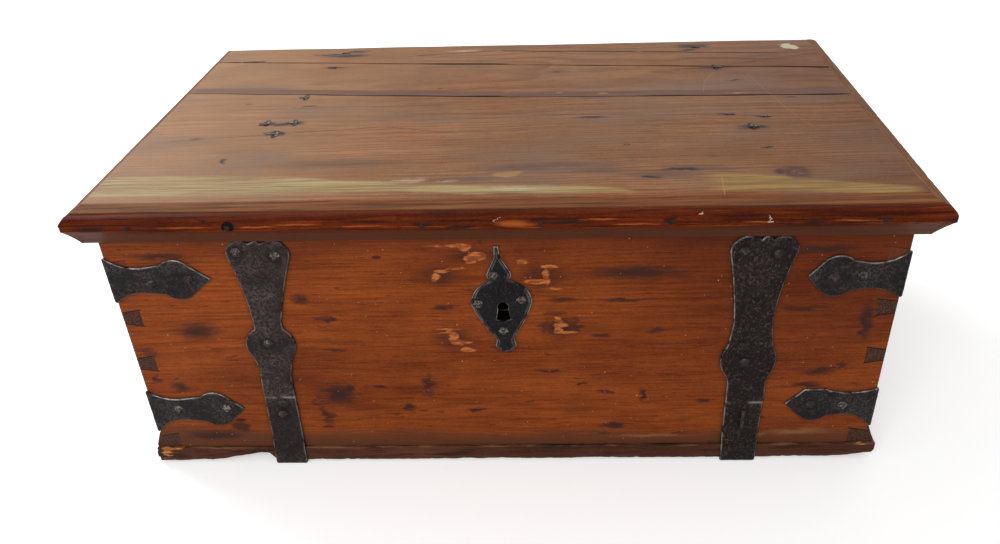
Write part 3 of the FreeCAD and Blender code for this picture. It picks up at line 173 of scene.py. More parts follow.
def new_group(name, inputs, outputs):
    """A shader node group, from the names and values of its inputs and the names and kinds of its
    outputs. Gives the group, the flows that come in and the sockets that go out."""
    group = bpy.data.node_groups.new(name, "ShaderNodeTree")
    for title, value in inputs.items():
        kind = {1: "Float", 3: "Vector", 4: "Color"}[np.size(value)]
        socket = group.interface.new_socket(title, in_out="INPUT", socket_type="NodeSocket" + kind)
        socket.default_value = value
    for title, kind in outputs.items():
        group.interface.new_socket(title, in_out="OUTPUT", socket_type="NodeSocket" + kind)
    return group, flows(group.nodes.new("NodeGroupInput")), group.nodes.new("NodeGroupOutput").inputs


def placed(group, inputs):
    """A group put into a material or another group; gives what comes out of it."""
    return flows(add("ShaderNodeGroup", inputs, node_tree=group))


ORIGIN = (0.0, 0.0, 0.0)

# Growth rings and fibres of a pine board. The vector runs along the grain, across the face and
# through the thickness. Rings are circles round a pith that lies behind the face and wanders, so a
# flat-sawn face shows flames, its edges show lines and its end shows arcs.
pine_grain, gi, go = new_group(
    "pine grain",
    {"Vector": ORIGIN, "Ring": 0.003, "Across": 0.0, "Depth": 0.06, "Wander": 0.02, "Seed": 0.0},
    dict.fromkeys(["Rings", "Fibre", "Streak", "Blotch", "Fleck", "Pores"], "Float"))
seeded = gi["Vector"] + joined(gi["Seed"])
slow = noise(stretched(seeded, (2.6, 7.0, 7.0)), 1.0, 2.0)
small = noise(stretched(seeded, (16.0, 75.0, 75.0)), 1.0, 2.0)
parts = split(gi["Vector"])
drift = (slow - 0.5) * gi["Wander"]
ripple = (small - 0.5) * 0.0035
across = parts[1] - gi["Across"] + (drift + ripple)
deep = parts[2] + (slow * 0.03 + gi["Depth"])
radius = reckon("SQRT", across * across + deep * deep)
count = radius / gi["Ring"]
uneven = noise(joined(count, gi["Seed"]), 0.45, 1.0)
count = uneven * 2.2 + count
year = reckon("FRACT", count)
late = ramp(year, 0.35, 0.86) * ramp(year, 0.9, 1.0, 1.0, 0.0)
dashes = noise(stretched(seeded, (60.0, 640.0, 640.0), (3.0, 5.0, 1.0)), 1.0, 2.0)
connect(go, {
    "Rings": late,
    "Fibre": noise(stretched(seeded, (26.0, 720.0, 720.0)), 1.0, 3.0, 0.7),
    "Streak": noise(stretched(seeded, (7.0, 260.0, 260.0)), 1.0, 5.0, 0.72),
    "Blotch": noise(stretched(seeded, (6.0, 17.0, 17.0)), 1.0, 6.0, 0.62),
    "Fleck": ramp(dashes, 0.64, 0.74),
    "Pores": noise(stretched(seeded, (420.0, 900.0, 900.0)), 1.0, 2.0, 0.7),
})

# One soft-edged spot: an ellipsoid about a centre. 1 inside and 0 outside.
spot, gi, go = new_group(
    "spot", {"Vector": ORIGIN, "Centre": ORIGIN, "Size": (1.0, 1.0, 1.0), "Soft": 0.5}, {"Mask": "Float"})
away = reckon("LENGTH", (gi["Vector"] - gi["Centre"]) / gi["Size"])
connect(go, {"Mask": ramp(away, 1.0 - gi["Soft"], 1.0, 1.0, 0.0)})

# One knot: turns the grain aside round it and gives a dark core.
knot, gi, go = new_group(
    "knot", {"Vector": ORIGIN, "Centre": ORIGIN, "Radius": 0.006}, {"Vector": "Vector", "Core": "Float"})
offset = gi["Vector"] - gi["Centre"]
off = split(offset)
near = reckon("LENGTH", offset * (0.45, 1.0, 0.0)) / gi["Radius"]
push = gi["Radius"] * ramp(near, 0.8, 4.5, 1.0, 0.0)
side = reckon("MINIMUM", greater(off[1] / gi["Radius"], -1.0), 1.0)
moved = push * side * (-0.85)
connect(go, {"Vector": gi["Vector"] + joined(0.0, moved), "Core": ramp(near, 0.65, 1.0, 1.0, 0.0)})


# A long line across a board, such as a joint, a split or a scratch: a wandering line from a start to an
# end in the plane, with a half width. 1 on the line and 0 away from it.
line, gi, go = new_group(
    "line", {"Vector": ORIGIN, "Start": ORIGIN, "End": (0.1, 0.0, 0.0), "Half": 0.0005, "Wander": 0.001},
    {"Mask": "Float"})
here = split(gi["Vector"])
start = split(gi["Start"])
end = split(gi["End"])
share = (here[0] - start[0]) / (end[0] - start[0])
wave = noise(joined(here[0], start[1]), 35.0, 2.0)
level_y = share * (end[1] - start[1]) + start[1]
level_y = (wave - 0.5) * gi["Wander"] + level_y
off = abs(here[1] - level_y) / gi["Half"]
ends = ramp(share, 0.0, 0.06) * ramp(share, 0.94, 1.0, 1.0, 0.0)
connect(go, {"Mask": ends * ramp(off, 0.4, 1.0, 1.0, 0.0)})


def strongest(masks):
    found = None
    for mask in masks:
        found = mask if found is None else greater(found, mask)
    return found


def spots(vector, places, soft=0.5):
    """The strongest of many spots. Each place is a centre and half sizes, in millimetres."""
    return strongest(placed(spot, {"Vector": vector, "Soft": soft, "Centre": [v * MM for v in centre],
                                   "Size": [v * MM for v in size]})["Mask"] for centre, size in places)


def spotted(colour, vector, places, soft, share, red, green, blue):
    """The colour with spots of another over a share of it."""
    return blend(spots(vector, places, soft) * share, colour, srgb(red, green, blue))


def new_material(name):
    material = bpy.data.materials.new(name)
    material.use_nodes = True
    tree = material.node_tree
    shader = next(n for n in tree.nodes if n.type == "BSDF_PRINCIPLED")
    coordinates = flows(tree.nodes.new("ShaderNodeTexCoord"))
    return material, tree, shader, coordinates["Object"], coordinates["Normal"]


def swapped(vector, order):
    """The same vector with its parts in another order: along the grain, across, through."""
    parts = split(vector)
    return joined(*(parts[k] for k in order))


def bumped(height, distance):
    """Normals raised by a height in metres, at seven tenths of full strength."""
    made = add("ShaderNodeBump", {"Height": height, "Distance": distance, "Strength": 0.7})
    return Flow(made.outputs["Normal"])


def finish(name, material):
    """Gives a CAD node that keeps its own shape its material."""
    mesh = nodes[name].data
    mesh.materials.clear()
    mesh.materials.append(material)


MIDDLE_X = -1.91 * MM                     # middle of the carcass


def varnished_pine(name, order, seed, face_dark, face_light, marks=None, inner=None, knots=(),
                   shine=0.07, ringed=0.5):
    """Old varnished pine. order says which way the grain runs: along it, across the face, through it.
    inner is an axis and two levels of it between which the varnish gives way to bare dusty wood."""
    material, _, shader, place, normal = new_material(name)
    along = swapped(place, order)
    cores = 0.0
    for centre, radius in knots:
        centre = [v * MM for v in (*centre, 0)]
        turned = placed(knot, {"Vector": along, "Centre": centre, "Radius": radius * MM})
        along, cores = turned["Vector"], greater(turned["Core"], cores)
    astray = noise(stretched(place, (60, 60, 150)), 1.0, 4.0, 0.65, 1) - (0.5, 0.5, 0.5)
    ragged = place + astray * (0.034, 0.011, 0.011)
    grain = placed(pine_grain, {"Vector": along, "Ring": 0.0034, "Across": 0.12, "Depth": 0.05,
                                "Wander": 0.045, "Seed": seed})
    tone = grain["Streak"] * 0.8 + (grain["Blotch"] * 1.7 - 0.75)
    tone = tone + (grain["Pores"] * 0.9 - 0.45)
    colour = blend(tone, srgb(*face_dark), srgb(*face_light))
    late = grain["Rings"] * ramp(grain["Blotch"], 0.35, 0.65, ringed * 0.3, ringed)
    colour = shaded(late, colour, 160, 124, 104)
    fine = ramp(grain["Fibre"], 0.30, 0.56, 1.0, 0.0)
    colour = shaded(fine * 0.5, colour, 150, 118, 100)
    colour = shaded(grain["Fleck"] * 0.5, colour, 110, 80, 70)
    height = grain["Rings"] * 0.35 + grain["Fibre"] * 0.6
    plain, rough = colour, grain["Streak"] * 0.3 + 0.3
    colour = blend(cores * 0.85, colour, srgb(44, 24, 18))
    if marks:
        colour, height = marks(place, ragged, normal, colour, height)
    if inner:
        axis, start, end = inner
        level = split(place)[axis]
        if axis == 0:
            level = abs(level - MIDDLE_X)
        within = ramp(level, min(start, end), max(start, end), float(start > end), float(end > start))
        on_end = abs(split(normal)[order[0]])
        within = within * ramp(on_end, 0.6, 0.8, 1.0, 0.0)
        dusty = blend(0.62, plain, blend(tone, srgb(112, 78, 50), srgb(162, 124, 86)))
        dusty = blend(cores * 0.8, dusty, srgb(62, 38, 26))
        colour = blend(within, colour, dusty)
        rough = within * 0.35 + rough
    connect(shader.inputs, {"Base Color": colour, "Roughness": rough, "Specular IOR Level": shine,
                            "Normal": bumped(height, 0.0003)})
    return material


def traced(value, along, across):
    """A line drawn through points, in metres: how far across it lies at a value along."""
    start, length = along.min(), np.ptp(along)
    low, span = across.min(), max(np.ptp(across), MM)
    drawn = add("ShaderNodeFloatCurve", {"Value": (value - start) / length})
    points = drawn.mapping.curves[0].points
    order = np.argsort(along)
    places = [((along[k] - start) / length, (across[k] - low) / span) for k in order]
    points[0].location, points[1].location = places[0], places[-1]
    for place in places[1:-1]:
        points.new(*place)
    for point in points:
        point.handle_type = "VECTOR"
    drawn.mapping.update()
    return Flow(drawn.outputs[0]) * span + low


def inside(value, other, along, low, high, soft, end_soft=12 * MM):
    """1 between two drawn lines and within their length, 0 outside."""
    up = other - traced(value, along, low)
    down = traced(value, along, high) - other
    across = ramp(reckon("MINIMUM", up, down), -soft, soft)
    begun = ramp(value, along.min() - end_soft, along.min() + end_soft)
    not_done = ramp(value, along.max() - end_soft, along.max() + end_soft, 1.0, 0.0)
    return across * (begun * not_done)


def as_array(mesh):
    """Corner points and triangles of a mesh."""
    points = np.empty(len(mesh.vertices) * 3)
    mesh.vertices.foreach_get("co", points)
    mesh.calc_loop_triangles()
    triangles = np.empty(len(mesh.loop_triangles) * 3, dtype=np.int64)
    mesh.loop_triangles.foreach_get("vertices", triangles)
    return points.reshape(-1, 3), triangles.reshape(-1, 3)


def face_rim(name, axis, level):
    """Edges round the flat face of a CAD node at that level of an axis: only edges of one triangle."""
    points, triangles = as_array(nodes[name].data)
    triangles = triangles[(np.abs(points[triangles][:, :, axis] - level) < 2e-5).all(axis=1)]
    flat = np.round(np.delete(points, axis, axis=1), 6)
    flat, same = np.unique(flat, axis=0, return_inverse=True)
    same = same.reshape(-1)[triangles]
    edges = np.sort(np.concatenate([same[:, [0, 1]], same[:, [1, 2]], same[:, [2, 0]]]), axis=1)
    edges, uses = np.unique(edges, axis=0, return_counts=True)
    return flat[edges[uses == 1]]


def reach(rim, along, levels):
    """Lowest and highest point, across, at which the rim is met at each level along."""
    a, b = rim[:, 0], rim[:, 1]
    from_a = np.asarray(levels)[:, None] - a[:, along]
    rise = b[:, along] - a[:, along]
    share = from_a / np.where(rise == 0.0, np.inf, rise)
    other = 1 - along
    met = a[:, other] + share * (b[:, other] - a[:, other])
    hit = (share >= 0.0) & (share <= 1.0) & (rise != 0.0)
    return np.where(hit, met, np.inf).min(axis=1), np.where(hit, met, -np.inf).max(axis=1)


def dirt_and_shade_round_irons(parts):
    """Dirt and painted contact shade against the irons on the front: how near a point is to the outline of
    one.
    """
    masks = []
    for name in nodes:
        box_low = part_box(name)[0]
        if not name.startswith(("front_strap", "corner_iron_front", "keyhole_plate")) or "nails" in name:
            continue
        upright = not name.startswith("corner_iron")
        face = box_low.y
        if name.startswith("front_strap"):
            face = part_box("front_board")[0].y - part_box("bottom_board_front")[0].z
        rim = face_rim(name, 1, face)
        along = 1 if upright else 0
        first, last = rim[:, :, along].min(), rim[:, :, along].max()
        levels = np.linspace(first + 0.2 * MM, last - 0.2 * MM, 26)
        low, high = reach(rim, along, levels)
        met = np.isfinite(low)
        value, other = (parts[2], parts[0]) if upright else (parts[0], parts[2])
        masks.append(inside(value, other, levels[met], low[met], high[met], 6.0 * MM, 4.0 * MM))
    return strongest(masks)


def on_front(*places):
    """Spots on the front board, each x, z and half sizes, reaching through its thickness."""
    return [((x, 0, z), (w, 900, h)) for x, z, w, h in places]


FRONT_SMUDGES = on_front(
    (-178, 92, 30, 20), (-197, 66, 7, 22), (-166, 102, 10, 9), (-80, 110, 9, 13), (-103, 75, 9, 9),
    (-32, 71, 13, 4), (-173, 191, 7, 5), (-171, 153, 19, 3), (-135, 104, 16, 3), (48, 122, 21, 3),
    (96, 166, 13, 4), (-57, 203, 17, 4), (79, 106, 9, 3), (102, 95, 12, 4), (113, 48, 24, 7),
    (141, 90, 6, 14), (203, 82, 15, 4), (118, 209, 40, 3), (130, 240, 70, 12), (60, 210, 20, 5),
    (149, 172, 14, 4), (-310, 178, 33, 16), (-345, 106, 14, 10), (-199, 215, 16, 9), (-330, 268, 40, 6),
    (318, 118, 22, 7), (300, 262, 40, 8), (-322, 38, 44, 11), (-290, 50, 14, 12), (-368, 118, 8, 8),
    (304, 101, 22, 5), (336, 125, 7, 9), (55, 178, 17, 13), (330, 78, 30, 6), (352, 180, 10, 34),
    (290, 196, 30, 4),
)
FRONT_STAINS = on_front(
    (-176, 99, 20, 11), (-203, 86, 4, 12), (-190, 64, 5, 15), (-196, 50, 9, 4), (-80, 100, 7, 13),
    (-103, 78, 6, 5), (70, 180, 5, 13), (40, 178, 4, 12), (54, 196, 15, 3.5), (352, 176, 7, 22),
    (205, 81, 11, 2.6), (139, 90, 3.4, 9), (-176, 192, 14, 3), (-131, 105, 4, 2.4), (322, 122, 10, 3),
    (306, 99, 16, 2.4), (113, 46, 20, 4), (-366, 150, 9, 12),
)
FRONT_HALOS = on_front(
    (-50, 166, 31, 26), (57, 178, 26, 24), (-60, 240, 30, 18), (38, 238, 34, 24), (-28, 262, 38, 14),
)
FRONT_CHIPS = on_front(
    (-50, 273.5, 26, 2.2), (-34, 271, 7, 5), (-23, 261, 12, 5.5), (-30, 257, 6, 5), (-64, 238, 5, 6),
    (-57, 245, 9, 2.4), (-44, 248, 11, 1.4), (20, 254, 7, 3), (32, 232, 14, 4), (43, 237, 3.5, 11),
    (47, 248, 10, 2.6), (48, 224, 12, 2), (53, 187, 5, 5), (56, 180, 9, 4), (54, 173, 5, 5),
    (62, 171, 12, 1.5), (-55, 177, 15, 1.8), (-52, 168, 5.5, 10), (-46, 160, 9, 5), (-38, 160.5, 7, 2),
    (-38, 151, 10, 3.6), (-60, 172, 9, 0.8), (-330, 289, 3, 4), (-289, 168, 1.6, 1.4),
)


# inner x with its low and high z, then outer x with its low and high z, of each dovetail pin on the right
PIN_EDGES = (
    (361.0, 243.25, 263.75, 380.0, 247.0, 260.0), (361.0, 288.5, 299.5, 380.0, 292.5, 299.5),
    (361.0, 70.15, 90.65, 380.0, 73.9, 86.9), (361.0, 127.85, 148.35, 380.0, 131.6, 144.6),
    (361.0, 185.55, 206.05, 380.0, 189.3, 202.3), (361.0, 22.0, 42.0, 380.0, 22.0, 38.0),
)
PIN_MIDDLE, PIN_OVERLAP = -1.9, 2.0       # middle of the carcass, and how far each line runs past its ends


def lines(vector, places):
    """The strongest of several lines, each from x, y to x, y with a half width and a wander, in
    millimetres."""
    return strongest(placed(line, {"Vector": vector, "Half": half * MM, "Wander": wander * MM,
                                   "Start": (x0 * MM, y0 * MM, 0.0), "End": (x1 * MM, y1 * MM, 0.0)})["Mask"]
                     for x0, y0, x1, y1, half, wander in places)


def pin_joints(upright):
    """Dark lines where the dovetail pins meet the front board."""
    places = []
    for inner, z0, z1, outer, y0, y1 in PIN_EDGES:
        for side in (-1.0, 1.0):
            near, far = side * inner + PIN_MIDDLE, side * outer + PIN_MIDDLE
            for a, b in ((z0, y0), (z1, y1)):
                start, end = sorted([(near, a), (far, b)])
                places.append((start[0] - PIN_OVERLAP, start[1], end[0] + PIN_OVERLAP, end[1], 0.9, 0.3))
    return lines(upright, places)


def front_marks(place, ragged, normal, colour, height):
    """Rubs, dirt and chips of the front board, painted shade darker to the right and under the lid, painted
    glints, dirt and painted shade against the irons, and painted shade in the keyhole.
    """
    parts = split(place)
    broad = noise(stretched(place, (7, 1, 16)), 1.0, 3.0, 0.6)
    darker = blend(1.0, colour, srgb(176, 158, 160), "MULTIPLY")
    # painted shade: the right of the board is painted darker, as if lit from the left
    shade_to_right = ramp(parts[0], 0.02, 0.24, 0.0, 0.85) * ramp(parts[2], 0.12, 0.24)
    colour = blend(shade_to_right, colour, darker)
    colour = blend(ramp(broad, 0.52, 0.72, 0.0, 0.6), colour, darker)
    dirt_line = noise(stretched(place, (9, 1, 30)), 1.0, 3.0) * 0.03
    dirt_line = dirt_line + ramp(parts[0], -0.36, -0.20, 0.036, 0.024)
    dirt = ramp(parts[2] - dirt_line, -0.012, 0.010, 0.85, 0.0)
    colour = blend(dirt, colour, srgb(80, 47, 30))
    # painted shadow of the lid's overhang: the top of the board is painted darker
    lid_shadow = ramp(parts[2], 0.245, 0.300, 0.0, 0.6)
    colour = blend(lid_shadow, colour, srgb(78, 30, 13))
    colour = spotted(colour, ragged, FRONT_SMUDGES, 0.75, 0.9, 50, 27, 22)
    colour = spotted(colour, ragged, FRONT_STAINS, 0.45, 0.55, 46, 28, 25)
    colour = spotted(colour, ragged, FRONT_HALOS, 0.95, 0.85, 52, 24, 17)
    dents = ramp(noise(stretched(ragged, (55, 1, 150)), 1.0, 1.0), 0.70, 0.78)
    colour = blend(dents * 0.6, colour, srgb(60, 28, 18))
    little = (ragged - place) * (0.42, 0.42, 0.6)
    chips = spots(place + little, FRONT_CHIPS, 0.3)
    flaked = noise(stretched(place, (90, 1, 300)), 1.0, 3.0, 0.6)
    bare = blend(ramp(flaked, 0.4, 0.6), srgb(126, 62, 28), srgb(178, 104, 56))
    colour = blend(chips * 0.9, colour, bare)
    # painted highlights: tiny light specks on the varnish
    glints = ramp(noise(place, 420.0, 0.0), 0.835, 0.855)
    colour = blend(glints * 0.7, colour, srgb(206, 158, 118))
    pale = on_front((306, 37, 48, 6), (262, 34, 20, 5), (150, 33, 60, 3))
    colour = spotted(colour, ragged, pale, 0.9, 0.7, 128, 92, 60)
    # dirt and painted shade darken the wood against the irons
    against = dirt_and_shade_round_irons(split(place + (ragged - place) * (0.12, 0.0, 0.3))) * 0.8
    colour = blend(against, colour, srgb(38, 20, 15))
    joints = pin_joints(swapped(place, (0, 2, 1)))
    colour = blend(joints * 0.85, colour, srgb(26, 17, 14))
    # painted shade: a dark patch behind the keyhole, seen through the hole
    keyhole_shade = spots(place, (((0.2, -190, 198), (16, 60, 17)),), 0.2)
    colour = blend(keyhole_shade, colour, srgb(16, 11, 9))
    height = chips * (-2.5) + height
    return colour, height


FRONT_DARK, FRONT_LIGHT = (92, 37, 10), (149, 73, 26)
FRONT_KNOTS = (((336, 287), 6.0), ((-118, 262), 2.5), ((-290, 60), 3.0))
front_pine = varnished_pine("front_pine", (0, 2, 1), 3.0, FRONT_DARK, FRONT_LIGHT, front_marks,
                            (1, -0.1945, -0.1932), FRONT_KNOTS, ringed=0.28)
finish("front_board", front_pine)

# ======================================================================= carcass: ends and back
# Side boards with pins cut on both ends, so their end grain shows on the front and the back; the back
# board is like the front, only plainer. All glued and held by the dovetails.
def end_grain_marks(axis):
    """Grey-brown end grain where the face looks along the grain, given as the axis of the grain."""
    def marks(place, ragged, normal, colour, height):
        end = ramp(abs(split(normal)[axis]), 0.7, 0.9)
        pores = noise(place, 900.0, 2.0, 0.7)
        grey = blend(ramp(pores, 0.3, 0.7), srgb(30, 17, 12), srgb(84, 53, 39))
        if axis == 1:
            joints = pin_joints(swapped(place, (0, 2, 1)))
            grey = blend(joints * 0.9, grey, srgb(18, 13, 11))
            up = split(place)[2]
            grey = blend(ramp(up, 0.236, 0.242, 0.0, 0.72), grey, colour)
        return blend(end, colour, grey), height
    return marks


side_pine = varnished_pine("side_pine", (1, 2, 0), 11.0, (82, 36, 14), (132, 69, 32), end_grain_marks(1),
                           (0, 0.3628, 0.3615), (((60, 170), 7.0), ((-120, 80), 4.0)))
back_pine = varnished_pine("back_pine", (0, 2, 1), 23.0, (84, 42, 22), (126, 74, 44), None,
                           (1, 0.2228, 0.2216), (((-150, 190), 9.0), ((210, 90), 6.0), ((20, 60), 4.0)))
for name in ("side_board_left", "side_board_right"):
    finish(name, side_pine)
finish("back_board", back_pine)

# ======================================================================= base
# Two bottom boards that stand out past the carcass as a worn plinth, and a thin sloping strip nailed
# along the foot of each end. Nails come up from below, so only their heads show underneath.
def ripples(a, b, seed, wave, depth):
    """Unevenness from the hammer or the plane: sixteen plane waves of about that length, added up."""
    draw = np.random.default_rng(seed)
    turn = draw.uniform(0.0, 2.0 * np.pi, 16)
    length = wave * draw.uniform(0.6, 1.7, 16)
    phase = draw.uniform(0.0, 2.0 * np.pi, 16)
    total = sum(np.sin((a * np.cos(w) + b * np.sin(w)) * 2.0 * np.pi / l + p)
                for w, l, p in zip(turn, length, phase))
    return depth * total / 4.0


def shell_faces(rows, columns):
    """Quads of a closed shell: an outer grid, an inner grid behind it and four edge strips."""
    index = np.arange(2 * rows * columns).reshape(2, rows, columns)

    def quads(a):
        return np.stack([a[:-1, :-1], a[1:, :-1], a[1:, 1:], a[:-1, 1:]], axis=-1).reshape(-1, 4)
    strips = [index[:, :, 0].T, index[::-1, :, -1].T, index[::-1, 0].T, index[:, -1].T]
    return np.concatenate([quads(index[0])[:, ::-1], quads(index[1])] + [quads(strip) for strip in strips])


def loop_faces(rows, columns):
    """Quads of a tube whose columns close on themselves, and its two ends."""
    index = np.arange(rows * columns).reshape(rows, columns)
    round_it = np.concatenate([index, index[:, :1]], axis=1)
    quads = np.stack([round_it[:-1, :-1], round_it[1:, :-1], round_it[1:, 1:], round_it[:-1, 1:]], axis=-1)
    return quads.reshape(-1, 4).tolist() + [index[0].tolist(), index[-1, ::-1].tolist()]


def outwards(points, faces):
    """The faces turned so that the solid they close has a positive volume."""
    volume = 0.0
    for face in faces:
        corner = points[list(face)]
        volume += (np.cross(corner[1:-1], corner[2:]) * corner[0]).sum()
    return faces if volume > 0.0 else [list(face)[::-1] for face in faces]


def new_piece(hidden, ending, solids, material, body, worn=None, sharp=35.0):
    """Makes one object of closed solids, each points and faces, in place of a CAD node on its body."""
    name = hidden + ending
    points = np.concatenate([p.reshape(-1, 3) for p, _ in solids])
    faces, first = [], 0
    for p, f in solids:
        turned = outwards(p.reshape(-1, 3), [list(face) for face in f])
        faces += [[int(k) + first for k in face] for face in turned]
        first += p.size // 3
    mesh = bpy.data.meshes.new(name)
    mesh.from_pydata(points.tolist(), [], faces)
    mesh.validate()
    mesh.materials.append(material)
    mesh.shade_smooth()
    mesh.set_sharp_from_angle(angle=math.radians(sharp))
    if worn is not None:
        layer = mesh.attributes.new("worn", "FLOAT", "POINT")
        layer.data.foreach_set("value", np.concatenate([w.reshape(-1) for w in worn]).astype(np.float32))
    piece = bpy.data.objects.new(name, mesh)
    bpy.context.scene.collection.objects.link(piece)
    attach(piece, body)
    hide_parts(hidden)


def nicks(run, seed, count, length, depth):
    """Small bites out of an edge at seeded places: a sum of narrow bells."""
    draw = np.random.default_rng(seed)
    places = draw.uniform(run.min(), run.max(), count)
    widths = length * draw.uniform(0.3, 1.0, count)
    deeps = depth * draw.uniform(0.2, 1.0, count)
    return sum(d * np.exp(-((run - p) / w) ** 2) for p, w, d in zip(places, widths, deeps))


BASE_FOOT = (         # x, then how high the worn lower edge of the front stands, in millimetres
    (-384, 3.0), (-346, 3.6), (-330, 4.2), (-318, 5.4), (-309, 8.0), (-292, 11.0), (-276, 14.5),
    (-266, 14.0), (-258, 3.4), (-178, 3.0), (-100, 3.0), (-62, 3.0), (-50, 4.0), (-30, 3.2), (-11, 3.8),
    (8, 3.0), (33, 3.0), (68, 3.0), (84, 4.0), (98, 4.2), (120, 3.0), (206, 3.0), (270, 3.0),
    (313, 3.8), (340, 3.6), (365, 5.4), (380, 8.5),
)
SPLINTERS = (         # middle and half sizes of each, in millimetres
    ((-380, -209, 16), (10, 14, 2.6)), ((-379, -206, 11), (7, 16, 1.6)), ((-376, -211, 20), (10, 8, 2.0)),
    ((-382, -200, 8), (5, 16, 1.4)), ((-366, -213, 21), (8, 5, 1.0)), ((376, -213, 21.5), (5, 6, 1.0)),
    ((-383, -208, 13), (3, 20, 8)),
)


def base_marks(place, ragged, normal, colour, height):
    """End grain, dust on the ledge, dirt in the hollows, and fresh wood where splinters have come off."""
    parts = split(place)
    pores = noise(place, 900.0, 2.0, 0.7)
    end = ramp(abs(split(normal)[0]), 0.7, 0.9)
    colour = blend(end, colour, blend(pores, srgb(44, 30, 24), srgb(96, 70, 56)))
    rough = noise(stretched(place, (30, 200, 200)), 1.0, 4.0, 0.7)
    top = ramp(parts[2], 0.0194, 0.0216) * ramp(rough, 0.44, 0.62)
    colour = blend(top * 0.7, colour, srgb(122, 88, 64))
    darkened = ramp(noise(stretched(place, (14, 1, 120)), 1.0, 3.0), 0.54, 0.66)
    colour = blend(darkened * 0.7, colour, srgb(30, 18, 14))
    edge = ramp(parts[2], 0.0095, 0.003) * ramp(rough, 0.46, 0.6)
    colour = blend(edge * 0.5, colour, srgb(110, 70, 50))
    fresh = spots(ragged, SPLINTERS, 0.5)
    bare = blend(ramp(rough, 0.4, 0.62), srgb(150, 78, 34), srgb(206, 146, 78))
    colour = blend(fresh * 0.85, colour, bare)
    return colour, darkened * (-0.8) + height


def base_board_surface():
    """The front bottom board, swept along its length. Its section is a slab with rounded front edges.
    The lower front edge rises by the worn foot line, fading back as a bell; the left end is splintered
    back, most at the top. Each end is closed by rings that shrink to the middle of the section."""
    low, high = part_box("bottom_board_front")
    deep, thick = high.y - low.y, high.z - low.z
    back = np.array([1.0, 0.7, 0.4, 0.22]) * deep
    lower = [(d, 0.0) for d in (*back, 30 * MM, 20 * MM, 13 * MM, 8 * MM, 5 * MM)]
    round_low = [(2.0 * MM, 0.0), (0.9 * MM, 0.12 * MM), (0.25 * MM, 0.5 * MM), (0.0, 1.2 * MM)]
    face = [(0.0, h * thick) for h in (0.34, 0.48, 0.62, 0.76, 0.88)]
    round_top = [(0.15 * MM, thick - 0.9 * MM), (0.6 * MM, thick - 0.25 * MM), (1.4 * MM, thick)]
    upper = [(d, thick) for d in (3.2 * MM, 5 * MM, 9 * MM, 16 * MM, *back[::-1])]
    section = np.array(lower + round_low + face + round_top + upper)
    foot = np.array(BASE_FOOT, dtype=float) * MM

    def placed_at(d, h, x):
        worn = np.maximum(np.interp(x, foot[:, 0], foot[:, 1]) - low.z, 0.0)
        worn = worn + np.abs(ripples(x, d, 3, 14 * MM, 0.25 * MM))
        front = np.exp(-(d / (16 * MM)) ** 2)
        z = low.z + h + worn * front * (1.0 - h / thick)
        bitten = nicks(x, 5, 26, 5 * MM, 0.8 * MM) * np.exp(-(h / (2 * MM)) ** 2)
        rough = np.abs(ripples(x, h * 5.0, 4, 22 * MM, 0.3 * MM)) + bitten
        return np.stack([x, low.y + d + rough * front, z], axis=-1)

    def broken(d, h):
        """How far the left end is splintered back."""
        gone = (0.2 * MM + 3.2 * MM * np.clip(h / thick, 0.0, 1.0) ** 2.0) * np.exp(-(d / (30 * MM)) ** 2)
        return gone * (0.75 + 0.25 * np.sin(h * 2.4 / MM)) + np.abs(ripples(h * 9.0, d, 6, 12 * MM, 0.5 * MM))

    centre = np.array([deep / 2.0, thick / 2.0])
    shrink = np.array([0.02, 0.3, 0.6, 0.8, 0.9, 0.94, 0.96, 0.975, 0.985, 0.992, 1.0])
    d, h = np.moveaxis(centre + (section - centre) * shrink[:, None, None], -1, 0)
    ring_left = placed_at(d, h, low.x + broken(d, h))
    ring_right = placed_at(d[::-1], h[::-1], high.x - broken(d[::-1], 0.0 * h))
    d, h = section[:, 0][None, :], section[:, 1][None, :]
    share = np.linspace(0.0, 1.0, 402)[1:-1, None]
    begin, end = low.x + broken(d, h), high.x - broken(d, 0.0 * h)
    along = placed_at(*np.broadcast_arrays(d, h, begin + share * (end - begin)))
    points = np.concatenate([ring_left, along, ring_right])
    return points, loop_faces(*points.shape[:2])


base_pine = varnished_pine("base_pine", (0, 1, 2), 31.0, (50, 26, 18), (98, 56, 38), base_marks)
strip_pine = varnished_pine("strip_pine", (1, 2, 0), 37.0, (50, 26, 18), (98, 56, 38), end_grain_marks(1))
new_piece("bottom_board_front", "_worn", [base_board_surface()], base_pine, "case")
finish("bottom_board_rear", base_pine)
for name in ("foot_strip_left", "foot_strip_right"):
    finish(name, strip_pine)

# ======================================================================= ironwork: straps
# Two long straps of hammered wrought iron, blackened and pitted, with bright worn edges. Each runs
# from a two-lobed head down the front, out over the base, under the chest and up the back, and is
# nailed. The foot is a second piece, forge-welded on with a lap that still shows.
forged, gi, go = new_group(
    "forged iron",
    {"Vector": ORIGIN, "Dark": srgb(34, 29, 29), "Light": srgb(78, 72, 68), "Worn": 0.0, "Mottle": 0.2},
    {"Color": "Color", "Roughness": "Float", "Height": "Float", "Metal": "Float"})
cloud = noise(gi["Vector"], 30.0, 5.0, 0.66)
pits = noise(gi["Vector"], 430.0, 3.0, 0.7)
scale = noise(gi["Vector"], 150.0, 4.0, 0.65)
tone = ramp(cloud, 0.40, 0.66) * ramp(pits, 0.40, 0.68)
skin_colour = blend(tone, gi["Dark"], gi["Light"])
flakes = ramp(noise(gi["Vector"], 330.0, 3.0, 0.6), 0.50, 0.62) * ramp(scale, 0.42, 0.56)
skin_colour = blend(flakes * gi["Mottle"], skin_colour, srgb(86, 70, 60))
specks = ramp(noise(gi["Vector"], 850.0, 1.0), 0.70, 0.78) * 0.5
